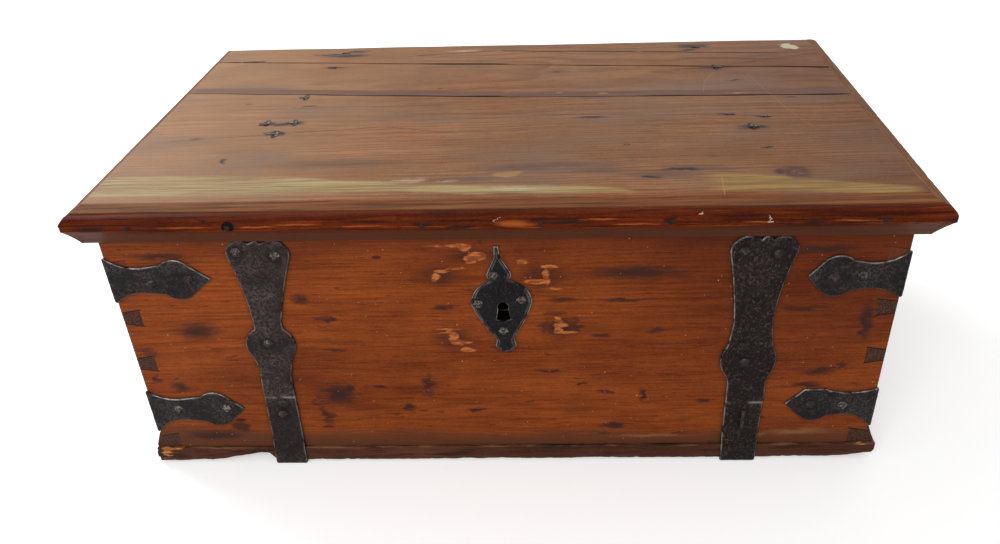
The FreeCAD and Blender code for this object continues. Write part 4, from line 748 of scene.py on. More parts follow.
skin_colour = blend(specks, skin_colour, srgb(128, 120, 112))
rubbed = greater(gi["Worn"], 0.0)
bare = rubbed * ramp(noise(gi["Vector"], 90.0, 3.0, 0.6), 0.36, 0.60)
skin_colour = blend(bare, skin_colour, srgb(158, 152, 146))
# negative worn: dirt and painted shade, nearly black
caked_and_shaded = greater(gi["Worn"] * (-1.0), 0.0)
connect(go, {
    "Color": blend(caked_and_shaded, skin_colour, srgb(13, 10, 9)),
    "Roughness": bare * (-0.2) + (scale * 0.34 + 0.32),
    "Height": pits * 0.4 + (flakes * (gi["Mottle"] * 0.8) + scale),
    "Metal": bare * 0.45 + 0.35,
})


def iron(name, dark, light, distance=0.0006, mottle=0.2, underside_shade=0.0):
    """Forged iron. A piece may carry an attribute called worn, 1 along its rubbed edges. The last argument
    is how much darker the under side of a nail head is painted, as painted shade where it faces down."""
    material, tree, shader, place, normal = new_material(name)
    attribute = tree.nodes.new("ShaderNodeAttribute")
    attribute.attribute_name = "worn"
    out = placed(forged, {"Vector": place, "Dark": srgb(*dark), "Light": srgb(*light),
                          "Worn": Flow(attribute.outputs["Fac"]), "Mottle": mottle})
    # painted shade: faces that look downward are painted darker
    darkened = ramp(split(normal)[2], -0.25, 0.3, underside_shade, 0.0)
    colour = blend(darkened, out["Color"], srgb(20, 16, 15))
    connect(shader.inputs, {"Base Color": colour, "Roughness": out["Roughness"], "Metallic": out["Metal"],
                            "Specular IOR Level": 0.12, "Normal": bumped(out["Height"], distance)})
    return material


black_iron = iron("black_iron", (20, 17, 18), (66, 60, 59), 0.0008, 0.3)
strap_irons = {"left": iron("strap_left_iron", (30, 23, 23), (76, 67, 63), 0.0007, 0.2),
               "right": iron("strap_right_iron", (18, 12, 11), (50, 40, 37), 0.0011, 0.45)}
nail_iron = iron("nail_iron", (46, 41, 38), (156, 147, 137), 0.0007, 0.2, 0.75)


def solid_fronts(name):
    """Middle, across and up, of the front of each separate solid of a CAD node: labels spread along its
    triangles until each solid has one."""
    points, triangles = as_array(nodes[name].data)
    flat, same = np.unique(np.round(points, 6), axis=0, return_inverse=True)
    triangles = same.reshape(-1)[triangles]
    labels = np.arange(len(flat))
    while True:
        lowest = np.repeat(labels[triangles].min(axis=1), 3)
        spread = labels.copy()
        np.minimum.at(spread, triangles.reshape(-1), lowest)
        if (spread == labels).all():
            break
        labels = spread
    middles = []
    for label in np.unique(labels):
        own = flat[labels == label]
        head = own[own[:, 1] < own[:, 1].min() + 1.5 * MM]
        middles.append((head.min(axis=0) + head.max(axis=0))[[0, 2]] / 2.0)
    return np.array(middles)


NAIL_RING = 6.2 * MM                      # radius of the ring of dirt and painted shade round a nail head


def dirt_and_shade_round_nails(nails, x, z):
    """Dirt and painted shade in a ring round each nail head: a bell about its radius."""
    far = np.min([np.hypot(x - a, z - b) for a, b in nails], axis=0)
    return 0.85 * np.exp(-((far - NAIL_RING) / (1.5 * MM)) ** 2)


# columns across a strap or leaf, -1 to 1, closer together along the hammered edges
ACROSS = np.concatenate([[-1.0, -0.98, -0.95, -0.90], np.linspace(-0.82, 0.82, 15), [0.90, 0.95, 0.98, 1.0]])
EDGE_DRAWN = 1.7 * MM        # how far in from an edge the iron is drawn thinner
EDGE_DROP = 0.9 * MM         # and by how much at the very edge
HAMMER_WAVE, HAMMER_DEPTH = 13.0 * MM, 0.16 * MM
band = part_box("bottom_board_front")[0].z                 # a strap is as thick as it lifts the base
front_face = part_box("front_board")[0].y
back_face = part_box("back_board")[1].y
base_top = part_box("front_board")[0].z
LAPS = {"left": 93.0 * MM, "right": 79.5 * MM}           # foot of each forge-welded lap
LAP_TALL, LAP_PROUD = 14.0 * MM, 0.8 * MM
JOG = 16.0 * MM                                          # height over which a strap steps out


def drawn_edge(distance):
    """How far the face falls away near an edge: a quarter round as a parabola."""
    return EDGE_DROP * np.clip(1.0 - distance / EDGE_DRAWN, 0.0, 1.0) ** 2


def node_high_back(name):
    """Top of the strap where it ends on the back of the chest."""
    points, _ = as_array(nodes[name].data)
    return points[points[:, 1] > back_face + band / 2, 2].max()


def strap_surface(name, lap):
    """Rows go down from the head, under the chest and up the back; columns go across. Above the
    widest level of the head a row rises to the share of the lobes' outline; below it the width is
    the outline's own. Each point lies on the path of the strap, in by the drawn edge and hammering."""
    node_low, node_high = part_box(name)
    rim = face_rim(name, 1, front_face - band)
    levels = np.arange(base_top + JOG + 0.5 * MM, node_high.z - 3.0 * MM, 2.5 * MM)
    left, right_side = reach(rim, 1, levels)
    head = np.argmax(np.where(levels > node_high.z - 45 * MM, right_side - left, 0.0))
    levels, left, right_side = levels[head::-1], left[head::-1], right_side[head::-1]
    share = (ACROSS + 1.0) / 2.0
    head_x = left[0] + (right_side[0] - left[0]) * share
    _, lobes = reach(rim, 0, np.clip(head_x, left[0] + 0.4 * MM, right_side[0] - 0.4 * MM))
    rise = np.array([1.0, 0.985, 0.96, 0.92, 0.8, 0.6, 0.4, 0.2])[:, None]
    top_z = levels[0] + rise * np.maximum(lobes - levels[0], 0.3 * MM)
    top_x = np.broadcast_to(head_x, top_z.shape)
    from_top = (1.0 - rise) * np.maximum(lobes - levels[0], 0.3 * MM)

    foot = face_rim(name, 2, 0.0)
    foot_left, foot_right = foot[:, :, 0].min(), foot[:, :, 0].max()
    ledge = node_low.y + band
    bend = np.linspace(0.0, np.pi / 2.0, 6)[1:]
    jog_z = np.linspace(base_top + JOG, base_top, 5)
    path_y = np.concatenate([np.linspace(front_face, ledge, 5) - band, np.full(4, ledge - band),
                             ledge - band * np.cos(bend), np.linspace(ledge, back_face, 40)[1:],
                             back_face + band * np.sin(bend), np.full(16, back_face + band)])
    path_z = np.concatenate([jog_z, np.linspace(base_top, band, 5)[1:], band - band * np.sin(bend),
                             np.zeros(39), band - band * np.cos(bend),
                             np.linspace(band, node_high_back(name), 17)[1:]])
    fall = np.clip((jog_z[0] - path_z) / jog_z[0], 0.0, 1.0)
    fall[len(jog_z) + 4:] = 1.0
    path_left = left[-1] + fall * (foot_left - left[-1])
    path_right = right_side[-1] + fall * (foot_right - right_side[-1])

    rest_z = np.concatenate([levels, path_z])
    rest_y = np.concatenate([np.full(len(levels), front_face - band), path_y])
    rest_left, rest_right = np.concatenate([left, path_left]), np.concatenate([right_side, path_right])
    rest_x = rest_left[:, None] + (rest_right - rest_left)[:, None] * share
    x = np.concatenate([top_x, rest_x])
    z = np.concatenate([top_z, np.broadcast_to(rest_z[:, None], rest_x.shape)])
    y = np.concatenate([np.full(top_z.shape, front_face - band),
                        np.broadcast_to(rest_y[:, None], rest_x.shape)])

    step_y, step_z = np.gradient(rest_y), np.gradient(rest_z)
    long = np.hypot(step_y, step_z)
    in_y = np.concatenate([np.ones(len(rise)), -step_z / long])[:, None]
    in_z = np.concatenate([np.zeros(len(rise)), step_y / long])[:, None]
    wide = rest_right - rest_left
    half = np.concatenate([np.full(len(rise), wide[0]), wide])[:, None] / 2.0
    run = np.concatenate([-rise[:, 0] * 20 * MM, np.cumsum(long)])[:, None]
    edge = (1.0 - np.abs(ACROSS)) * half
    edge = np.minimum(edge, np.concatenate([from_top, np.full(rest_x.shape, 1.0)]))
    depth = drawn_edge(edge) + np.abs(ripples(x, run, len(name), HAMMER_WAVE, HAMMER_DEPTH))
    on_front = (z > lap) & (z < lap + LAP_TALL) & (y < front_face)
    depth = depth - LAP_PROUD * on_front * np.clip((z - lap) / (2 * MM), 0.3, 1.0)
    outer = np.stack([x, y + in_y * depth, z + in_z * depth], axis=-1)
    inner = np.stack([x, y + in_y * band, z + in_z * band], axis=-1)
    points = np.stack([outer, inner])
    rubbed = np.clip(1.0 - edge / (1.1 * MM), 0.0, 1.0) * np.where(ACROSS > 0.0, 0.55, 0.9)
    rubbed = rubbed + 0.7 * np.exp(-((z - lap - 1 * MM) / (1.2 * MM)) ** 2) * (y < front_face)
    rubbed = rubbed - dirt_and_shade_round_nails(solid_fronts(name.replace("strap", "strap_nails")), x, z) * (y < front_face)
    return points, shell_faces(*x.shape), np.stack([rubbed, rubbed * 0.0])


for side, lap in LAPS.items():
    name = "front_strap_" + side
    points, faces, rubbed = strap_surface(name, lap)
    new_piece(name, "_forged", [(points, faces)], strap_irons[side], "case", [rubbed])

# ======================================================================= ironwork: corner irons
# Leaf-shaped irons bent round the corners of the chest, two nails in each leaf. They are thinner than
# the straps, so they follow the wood, and their cusps are broken and bright where hands have rubbed,
# with a painted highlight along their upper edges.
CORNER_IRONS = [name for name in nodes if name.startswith("corner_iron") and "nails" not in name]
LEAF_WEAR = 1.0 * MM                      # width of the bright rubbed edge
LONG_ROWS, END_ROWS, BEND_ROWS = 56, 50, 5


def corner_iron_surface(name):
    """Rows go from the tip of the long leaf, round the corner, to the tip of the end leaf; columns go
    up. The height at each row is the outline's own; the path is a line, a quarter round and a line."""
    low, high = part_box(name)
    sx, sy = (1.0 if low.x > 0.0 else -1.0), (1.0 if low.y > 0.0 else -1.0)
    x_out, y_out = (high.x if sx > 0 else low.x), (high.y if sy > 0 else low.y)
    thick = abs(y_out) - abs(back_face if sy > 0 else front_face)
    long_tip, end_tip = (low.x if sx > 0 else high.x), (low.y if sy > 0 else high.y)
    x_turn, y_turn = x_out - sx * thick, y_out - sy * thick
    xs = np.linspace(long_tip + sx * 0.3 * MM, x_turn - sx * 0.2 * MM, LONG_ROWS)
    ys = np.linspace(y_turn - sy * 0.2 * MM, end_tip + sy * 0.3 * MM, END_ROWS)
    long_low, long_high = reach(face_rim(name, 1, y_out), 0, xs)
    end_low, end_high = reach(face_rim(name, 0, x_out), 0, ys)
    bend = np.linspace(0.0, np.pi / 2.0, BEND_ROWS + 2)[1:-1]
    px = np.concatenate([xs, x_turn + sx * thick * np.sin(bend), np.full(END_ROWS, x_out)])[:, None]
    py = np.concatenate([np.full(LONG_ROWS, y_out), y_turn + sy * thick * np.cos(bend), ys])[:, None]
    z_low = np.concatenate([long_low, np.full(BEND_ROWS, long_low[-1]), end_low])
    z_high = np.concatenate([long_high, np.full(BEND_ROWS, long_high[-1]), end_high])
    turn_x = np.concatenate([np.zeros(LONG_ROWS), np.sin(bend), np.ones(END_ROWS)])[:, None] * sx
    turn_y = np.concatenate([np.ones(LONG_ROWS), np.cos(bend), np.zeros(END_ROWS)])[:, None] * sy
    share = (ACROSS + 1.0) / 2.0
    z = z_low[:, None] + (z_high - z_low)[:, None] * share
    run = np.cumsum(np.hypot(np.gradient(px[:, 0]), np.gradient(py[:, 0])))[:, None]
    to_tip = np.minimum(run, run[-1] - run)
    edge = np.minimum((1.0 - np.abs(ACROSS)) * (z_high - z_low)[:, None] / 2.0, to_tip + 0.2 * MM)
    seed = abs(round((long_tip + end_tip) / MM))
    depth = drawn_edge(edge) + np.abs(ripples(run, z, seed, HAMMER_WAVE, HAMMER_DEPTH))
    x = np.broadcast_to(px, z.shape)
    y = np.broadcast_to(py, z.shape)
    outer = np.stack([x - turn_x * depth, y - turn_y * depth, z], axis=-1)
    inner = np.stack([x - turn_x * thick, y - turn_y * thick, z], axis=-1)
    # the upper edge is painted brighter than the lower: a painted highlight from above, on top of the rubbed
    # wear
    rubbed = np.clip(1.0 - edge / LEAF_WEAR, 0.0, 1.0) * np.where(ACROSS > 0.0, 1.0, 0.35)
    return np.stack([outer, inner]), shell_faces(*z.shape), np.stack([rubbed, rubbed * 0.0])


for name in CORNER_IRONS:
    points, faces, rubbed = corner_iron_surface(name)
    new_piece(name, "_forged", [(points, faces)], black_iron, "case", [rubbed])

# ======================================================================= ironwork: keyhole plate
# A pear-shaped plate with a leaf finial, filed bright along its bevelled edge, held by four small nails.
# It is worn smoother than the straps. The two halves of the surface meet above and below the keyhole.
plate_iron = iron("plate_iron", (12, 11, 13), (30, 28, 30), 0.0004, 0.1)
PLATE_BEVEL, PLATE_DROP = 2.4 * MM, 1.1 * MM
PLATE_FOOT = 10.0 * MM                          # height of the point at the bottom
KEYHOLE_X, KEYHOLE_Z = 0.2 * MM, 198.3 * MM      # middle of the keyhole
KEYHOLE_BOX = (9.0 * MM, 13.0 * MM)             # half width and half height of a box round it


def keyhole_plate_surface():
    """Rows go up the plate; the columns of each half go from its outer edge in to the keyhole, or to
    the middle of the plate where there is no keyhole."""
    name = "keyhole_plate"
    low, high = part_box(name)
    rim = face_rim(name, 1, low.y)
    from_middle = np.abs(rim - (KEYHOLE_X, KEYHOLE_Z))
    near_hole = (from_middle < KEYHOLE_BOX).all(axis=(1, 2))
    key_low, key_high = rim[near_hole][:, :, 1].min(), rim[near_hole][:, :, 1].max()
    turn = (1.0 - np.cos(np.linspace(0.0, np.pi, 26))) / 2.0
    levels = np.concatenate([np.linspace(low.z + 0.3 * MM, key_low, 40)[:-1],
                             key_low + (key_high - key_low) * turn,
                             np.linspace(key_high, high.z - 0.3 * MM, 64)[1:]])
    left, right_side = reach(rim[~near_hole], 1, levels)
    key_left, key_right = reach(rim[near_hole], 1, levels)
    middle = (left + right_side) / 2.0
    pointed = np.clip((levels - low.z) / PLATE_FOOT, 0.04, 1.0) ** 0.7
    left, right_side = middle + (left - middle) * pointed, middle + (right_side - middle) * pointed
    away = np.clip(np.maximum(key_low - levels, levels - key_high) / (12 * MM), 0.0, 1.0)
    middle = KEYHOLE_X + away * (middle - KEYHOLE_X)
    within = (levels > key_low) & (levels < key_high)
    share = np.concatenate([[0.0, 0.02, 0.05, 0.09, 0.14, 0.2], np.linspace(0.3, 0.9, 6), [0.96, 1.0]])
    solids, worn = [], []
    for outside, keyhole_side in ((left, key_left), (right_side, key_right)):
        inner_x = np.where(within & np.isfinite(keyhole_side), keyhole_side, middle)
        x = outside[:, None] + (inner_x - outside)[:, None] * share
        edge = np.abs(x - outside[:, None])
        edge = np.minimum(edge, np.minimum(levels - low.z, high.z - levels)[:, None] * 0.6)
        keyed = np.where(within[:, None], np.abs(x - inner_x[:, None]), 1.0)
        at_key = np.clip(1.0 - keyed / (0.6 * MM), 0.0, 1.0)
        y = low.y + (PLATE_DROP * np.clip(1.0 - edge / PLATE_BEVEL, 0.0, 1.0) + 0.25 * MM * at_key)
        z = np.broadcast_to(levels[:, None], x.shape)
        outer = np.stack([x, y, z], axis=-1)
        inner = np.stack([x, np.full(x.shape, high.y), z], axis=-1)
        solids.append((np.stack([outer, inner]), shell_faces(*x.shape)))
        rubbed = np.exp(-((edge - PLATE_BEVEL) / (0.5 * MM)) ** 2) * 0.3
        rubbed = rubbed + np.clip(1.0 - edge / (0.8 * MM), 0.0, 1.0)
        worn.append(np.stack([np.maximum(rubbed, at_key), rubbed * 0.0]))
    return solids, worn


solids, rubbed = keyhole_plate_surface()
new_piece("keyhole_plate", "_forged", solids, plate_iron, "case", rubbed, 50.0)

# ======================================================================= ironwork: the rest
# Rose-headed nails, strap hinges with their leaves and pins, and a drop handle on each end. The lock
# and its staple are the same iron, kept dry inside the chest, so they are browner.
lock_iron = iron("lock_iron", (46, 36, 31), (92, 72, 60))
flush_iron = iron("flush_nail_iron", (26, 18, 15), (62, 48, 40))
for name in nodes:
    if name == "lid_moulding_nails":
        finish(name, flush_iron)
    elif "nails" in name and not name.startswith(("lock", "catch")):
        finish(name, nail_iron)
    elif name.startswith(("hinge", "handle")):
        finish(name, black_iron)
    elif name.startswith(("lock", "catch")):
        finish(name, lock_iron)

# ======================================================================= lid boards
# Three boards of the same pine butted edge to edge, dry and worn matt on top, with a bleached band
# along the front, iron stain round the clenched nails, and joints and splits full of dirt.
lid_top = max(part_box("lid_board_" + part)[1].z for part in ("front", "middle", "rear"))
rim_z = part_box("lid_board_front")[0].z
centre_x = (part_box("side_board_left")[0].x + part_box("side_board_right")[1].x) / 2.0
LID_LEFT, LID_RIGHT = -388.5 * MM, 381.5 * MM             # ends of the boards, from the middle of the carcass
LID_SKEW, LID_SHIFT = math.radians(-1.0), 8.0 * MM        # the lid sits a little askew on the carcass
LID_X = np.array([LID_LEFT, (LID_LEFT + LID_RIGHT) / 2.0, LID_RIGHT])
SEAM_1 = np.array([287.5, 252.8, 239.1]) * MM             # front joint, back from the front edge, at LID_X
SEAM_2 = np.array([401.5, 365.2, 328.9]) * MM
LID_DEEP = np.array([452.0, 445.0, 438.0]) * MM           # back edge
SEAM_GAP = 0.35 * MM                                      # each board stops short of the joint
ARRIS = 1.6 * MM                                          # rounding of the worn edges along a joint
ARRIS_DROP = 0.8 * MM
LID_WAVE, LID_UNEVEN = 130.0 * MM, 0.25 * MM


def on_lid(points):
    """Points drawn square to the front of the carcass, x from its middle and y from its front face,
    turned with the lid about the middle of the back edge."""
    x, y, z = points[..., 0], points[..., 1] - (back_face - front_face), points[..., 2]
    turned_x = x * math.cos(LID_SKEW) - y * math.sin(LID_SKEW)
    turned_y = x * math.sin(LID_SKEW) + y * math.cos(LID_SKEW)
    return np.stack([centre_x + LID_SHIFT + turned_x, back_face + turned_y, z], axis=-1)


def along_lid(values, x):
    """A joint's distance from the front edge at each x: straight from one end to the middle to the other."""
    return np.interp(x, LID_X, values)


def lid_board_surface(near, far, near_gap, far_gap, seed):
    """Rows go along the board and columns across it, from the near to the far joint. The top falls
    away in a parabola at each joint and is uneven by long low waves."""
    x = np.linspace(LID_LEFT, LID_RIGHT, 241)[:, None]
    y0, y1 = along_lid(near, x) + near_gap, along_lid(far, x) - far_gap
    inset = np.array([0.0, 0.25, 0.6, 1.1, 1.7, 3.0]) * MM
    width = y1 - y0
    inner = np.linspace(0.0, 1.0, 41)[None, 1:-1]
    y = np.concatenate([y0 + inset, y0 + 3 * MM + (width - 6 * MM) * inner, y1 - inset[::-1]], axis=1)
    x = np.broadcast_to(x, y.shape)
    edge = np.minimum(y - y0, y1 - y)
    arris = ARRIS_DROP * np.clip(1.0 - edge / ARRIS, 0.0, 1.0) ** 2
    z = lid_top - arris - LID_UNEVEN - ripples(x, y, seed, LID_WAVE, LID_UNEVEN)
    top = on_lid(np.stack([x, y, z], axis=-1))
    under = on_lid(np.stack([x, y, np.full(x.shape, rim_z)], axis=-1))
    return np.stack([top, under]), shell_faces(*x.shape)


def lid_line(values, aside, half, wander):
    """A line beside a joint of the lid, in two stretches that overlap, as the lines function takes it."""
    at = on_lid(np.stack([LID_X, values + aside * MM, np.zeros(3)], axis=-1))[:, :2] / MM
    return [(*(a - (12, 0)), *(b + (12, 0)), half, wander) for a, b in zip(at, at[1:])]


def on_top(*places):
    """Spots on the lid, each x, y and half sizes, reaching through its thickness."""
    return [((x, y, 320), (w, h, 300)) for x, y, w, h in places]


# near and far edge of each stretch of the bleached band, x and y in millimetres
BLEACHED = (
    (((-392, -191), (-329, -193), (-281, -194), (-223, -194), (-157, -193), (-92, -191), (-53, -198),
      (-10, -202)),
     ((-392, -152), (-366, -149), (-315, -151), (-255, -152), (-194, -158), (-162, -168), (-95, -174),
      (-56, -182), (-10, -190))),
    (((-60, -190), (-17, -198), (57, -204), (93, -205), (124, -206)),
     ((-60, -182), (-8, -184), (57, -189), (93, -193), (124, -202))),
    (((196, -206), (206, -206), (255, -209), (324, -215), (374, -224)),
     ((196, -172), (206, -171), (235, -174), (300, -190), (374, -206))),
)
GREYED = on_top(
    (-258, -162, 38, 6), (-287, -167, 28, 4), (-40, -170, 60, 10), (20, -150, 70, 14),
    (95, -158, 60, 12), (150, -168, 60, 14), (60, -145, 120, 10), (152, -70, 20, 4),
    (-160, -130, 90, 16), (105, 33, 26, 6), (190, -160, 50, 10), (-330, -60, 12, 8),
)
STAINED = on_top(
    (-261, -23, 17, 8), (-231, -21, 19, 9), (-246, -24, 26, 7), (-246, -50, 13, 10),
    (-226, 28, 14, 2.6), (-221, 160, 24, 5), (-214, 206, 44, 10), (-204, 222, 26, 7),
    (-240, 213, 24, 5), (251, 121, 44, 6), (237, 205, 30, 13), (231, 190, 12, 5), (257, -63, 22, 9),
    (238, -29, 11, 4), (275, -36, 11, 4), (126, -101, 3, 2), (140, -175, 12, 4), (172, -160, 26, 4),
    (93, -25, 24, 5), (262, -115, 7, 3), (268, 76, 12, 3), (292, 27, 7, 2), (-283, -118, 6, 8),
    (-77, 75, 6, 2),
)
CLENCHED = ((-262.7, -20.6), (-231.1, -19.9), (-246.1, -52.1), (-235.2, 56.4), (252.2, 121.9), (258, -61.8))
RESIDUE = on_top((354, 194, 9, 11), (362, 188, 8, 9))
WHITISH = on_top((-88, -170, 24, 7), (-50, -174, 12, 5), (20, -192, 40, 6), (-60, 214, 30, 6))
BARE = on_top((8, -163, 18, 7), (60, 49, 5, 2), (110, 45, 7, 2), (268, 34, 22, 1.6), (-370, 193, 34, 1.4))
# each split and scratch: from x, y to x, y, then its half width and how far it wanders
SPLITS = [
    (-125, 200, -12, 209, 1.2, 1.0), (-16, 208.6, 169, 189, 2.4, 1.0), (165, 189.4, 341, 166, 2.2, 1.0),
    (-392, 195, -318, 192, 2.4, 0.6), (-249, -52, -130, -38, 0.5, 2.5), (-130, -38, -45, -62, 0.5, 2.0),
    (-360, -64, -250, -53, 0.4, 2.0), (212, 160, 352, 142, 0.9, 3.0), (-120, -1, 300, -35, 0.35, 3.0),
    (20, 16, 330, -2, 0.3, 3.0), (-330, 22, -60, 22, 0.3, 3.0), (-330, -178, -190, -178, 0.4, 2.0),
]
SCRATCHES_DOWN = [                        # these run from front to back, so y comes before x
    (105, 247, 72, 231, 0.5, 2.0), (72, 231, 40, 225, 0.45, 1.0), (98, 285, -23, 306, 0.4, 3.0),
    (-23, 306, -70, 321, 0.35, 3.0), (88, 278, 60, 288, 0.3, 2.0), (-175, 206, -215, 203, 0.8, 4.0),
]


def lid_marks(place, ragged, normal, colour, height):
    """Painted sheen and shade, and wear of the top: lighter to the left as painted sheen, darker to the right
    as painted shade, a bleached band, stains, splits and scratches.
    """
    parts = split(place)
    near = split(place + (ragged - place) * (0.5, 0.35, 0.0))
    streaks = noise(stretched(place, (9, 330, 60)), 1.0, 4.0, 0.65)
    # painted sheen: the left of the lid is painted lighter
    aged_and_lit = blend(ramp(parts[0], -0.42, 0.05, 0.30, 0.0), colour, srgb(190, 148, 108))
    # painted shade: the right of the lid is painted darker
    aged_and_lit = shaded(ramp(parts[0], 0.16, 0.42, 0.0, 0.85), aged_and_lit, 206, 192, 184)
    warm = ramp(parts[1], -0.218, -0.196, 0.8, 0.0)
    aged_and_lit = shaded(warm, aged_and_lit, 250, 206, 168)
    hazy = noise(stretched(place, (5, 13, 1), (2, 7, 0)), 1.0, 5.0, 0.62)
    aged_and_lit = blend(ramp(hazy, 0.46, 0.68, 0.0, 0.5), aged_and_lit, srgb(112, 92, 80))
    aged_and_lit = shaded(ramp(hazy, 0.46, 0.30, 0.0, 0.5), aged_and_lit, 255, 222, 200)
    grey = spots(ragged, GREYED, 0.95)
    aged_and_lit = blend(grey * (streaks * 1.1), aged_and_lit, srgb(76, 62, 58))
    pale_colour = blend(ramp(streaks, 0.34, 0.62), srgb(134, 110, 70), srgb(166, 148, 104))
    pale_colour = shaded(ramp(parts[0], 0.0, 0.2), pale_colour, 236, 214, 188)
    worn_off = noise(stretched(place, (11, 60, 10)), 1.0, 3.0, 0.6)
    for low, high in BLEACHED:
        low, high = np.array(low, dtype=float) * MM, np.array(high, dtype=float) * MM
        along = np.linspace(low[0, 0], low[-1, 0], 14)
        pale = inside(near[0], near[1], along, np.interp(along, *low.T), np.interp(along, *high.T), 3.5 * MM)
        faded = ramp(streaks, 0.25, 0.5, 0.7, 1.0) * ramp(worn_off, 0.32, 0.54, 0.45, 0.95)
        aged_and_lit = blend(pale * faded, aged_and_lit, pale_colour)
    seam_shade = lines(place, lid_line(SEAM_1, 9.0, 11.0, 3.0))
    aged_and_lit = blend(seam_shade * 0.7, aged_and_lit, srgb(88, 64, 58))
    aged_and_lit = spotted(aged_and_lit, ragged, STAINED, 0.8, 0.92, 34, 33, 36)
    closer = place + (ragged - place) * (0.22, 0.8, 0.0)
    holes = on_top(*((x, y, 4.6, 12.0) for x, y in CLENCHED))
    aged_and_lit = spotted(aged_and_lit, closer, holes, 0.4, 0.92, 20, 17, 17)
    nail_ends = on_top(*((x + 0.8, y + 1.0, 1.7, 6.5) for x, y in CLENCHED))
    aged_and_lit = spotted(aged_and_lit, closer, nail_ends, 0.4, 0.85, 140, 132, 122)
    aged_and_lit = spotted(aged_and_lit, closer, on_top((276, -172, 17, 19), (262, -170, 9, 9)), 0.7, 0.75, 48, 33, 28)
    knot_middle = spots(closer, on_top((277, -173, 8, 9)), 0.5)
    checked = ramp(noise(place, 260.0, 2.0), 0.42, 0.56, 0.25, 0.85)
    aged_and_lit = blend(knot_middle * checked, aged_and_lit, srgb(116, 74, 60))
    whitish = spots(ragged, WHITISH, 0.9)
    aged_and_lit = blend(whitish * ramp(streaks, 0.35, 0.6, 0.15, 0.6), aged_and_lit, srgb(186, 174, 152))
    aged_and_lit = spotted(aged_and_lit, ragged, RESIDUE, 0.2, 0.85, 196, 184, 156)
    cracked = lines(place, SPLITS + lid_line(SEAM_2, 0.0, 1.8, 0.2) + lid_line(SEAM_1, 0.0, 1.7, 0.2))
    aged_and_lit = blend(cracked * 0.9, aged_and_lit, srgb(34, 18, 13))
    scratched = lines(swapped(place, (1, 0, 2)), SCRATCHES_DOWN)
    aged_and_lit = blend(scratched * 0.5, aged_and_lit, srgb(176, 124, 82))
    aged_and_lit = spotted(aged_and_lit, ragged, BARE, 0.5, 0.7, 158, 120, 76)
    return aged_and_lit, cracked * (-4.0) + height


LID_KNOTS = (((318, 17), 3.0), ((-300, 40), 2.5), ((60, 120), 3.0))
lid_pine = varnished_pine("lid_pine", (0, 1, 2), 47.0, (108, 71, 44), (160, 113, 76), lid_marks,
                          (2, rim_z + 1.2 * MM, rim_z + 0.6 * MM), LID_KNOTS)
LID_BOARDS = (
    ("lid_board_front", np.zeros(3), SEAM_1, 0.0, SEAM_GAP, 5),
    ("lid_board_middle", SEAM_1, SEAM_2, SEAM_GAP, SEAM_GAP, 6),
    ("lid_board_rear", SEAM_2, LID_DEEP, SEAM_GAP, 0.0, 7),
)
for name, near, far, near_gap, far_gap, seed in LID_BOARDS:
    board = lid_board_surface(near, far, near_gap, far_gap, seed)
    new_piece(name, "_worn", [board], lid_pine, "lid")

# ======================================================================= lid moulding
# Strips planed to a flat, a quirk, a round and a hollow, mitred at the front corners and nailed to the
# edges of the lid. The front one has lost its crispness: nicks, splits along the grain and dirt.
MOULD_FRONT, MOULD_LEFT, MOULD_RIGHT = 33.0 * MM, 7.8 * MM, 13.6 * MM
MOULD_FLAT, QUIRK_W, QUIRK_D = 17.0 * MM, 1.6 * MM, 2.2 * MM
MOULD_DROP, OVOLO_START, OVOLO_DROP = 0.6 * MM, 0.8 * MM, 2.2 * MM
NOSE_TOP, NOSE_H, NOSE_ARRIS = 7.5 * MM, 5.5 * MM, 1.0 * MM
LIP_DROP, LIP_IN, LIP_OUT, SIDE_LIP = 13.0 * MM, 8.0 * MM, 11.5 * MM, 3.0 * MM


def arc(start, middle, end, count):
    """Points of the circle through three points, from start to end, without the start."""
    (ax, ay), (bx, by), (cx, cy) = start, middle, end
    d = 2.0 * (ax * (by - cy) + bx * (cy - ay) + cx * (ay - by))
    a2, b2, c2 = ax * ax + ay * ay, bx * bx + by * by, cx * cx + cy * cy
    centre = np.array([(a2 * (by - cy) + b2 * (cy - ay) + c2 * (ay - by)) / d,
                       (a2 * (cx - bx) + b2 * (ax - cx) + c2 * (bx - ax)) / d])
    radius = np.hypot(*(np.array(start) - centre))
    first, mid, last = [np.arctan2(*(np.array(p) - centre)[::-1]) for p in (start, middle, end)]
    mid = (mid - first + np.pi) % (2 * np.pi) - np.pi
    last = (last - first) % (2 * np.pi) if mid > 0 else -((first - last) % (2 * np.pi))
    turn = first + last * np.linspace(0.0, 1.0, count + 1)[1:]
    return np.stack([centre[0] + radius * np.cos(turn), centre[1] + radius * np.sin(turn)], axis=-1)


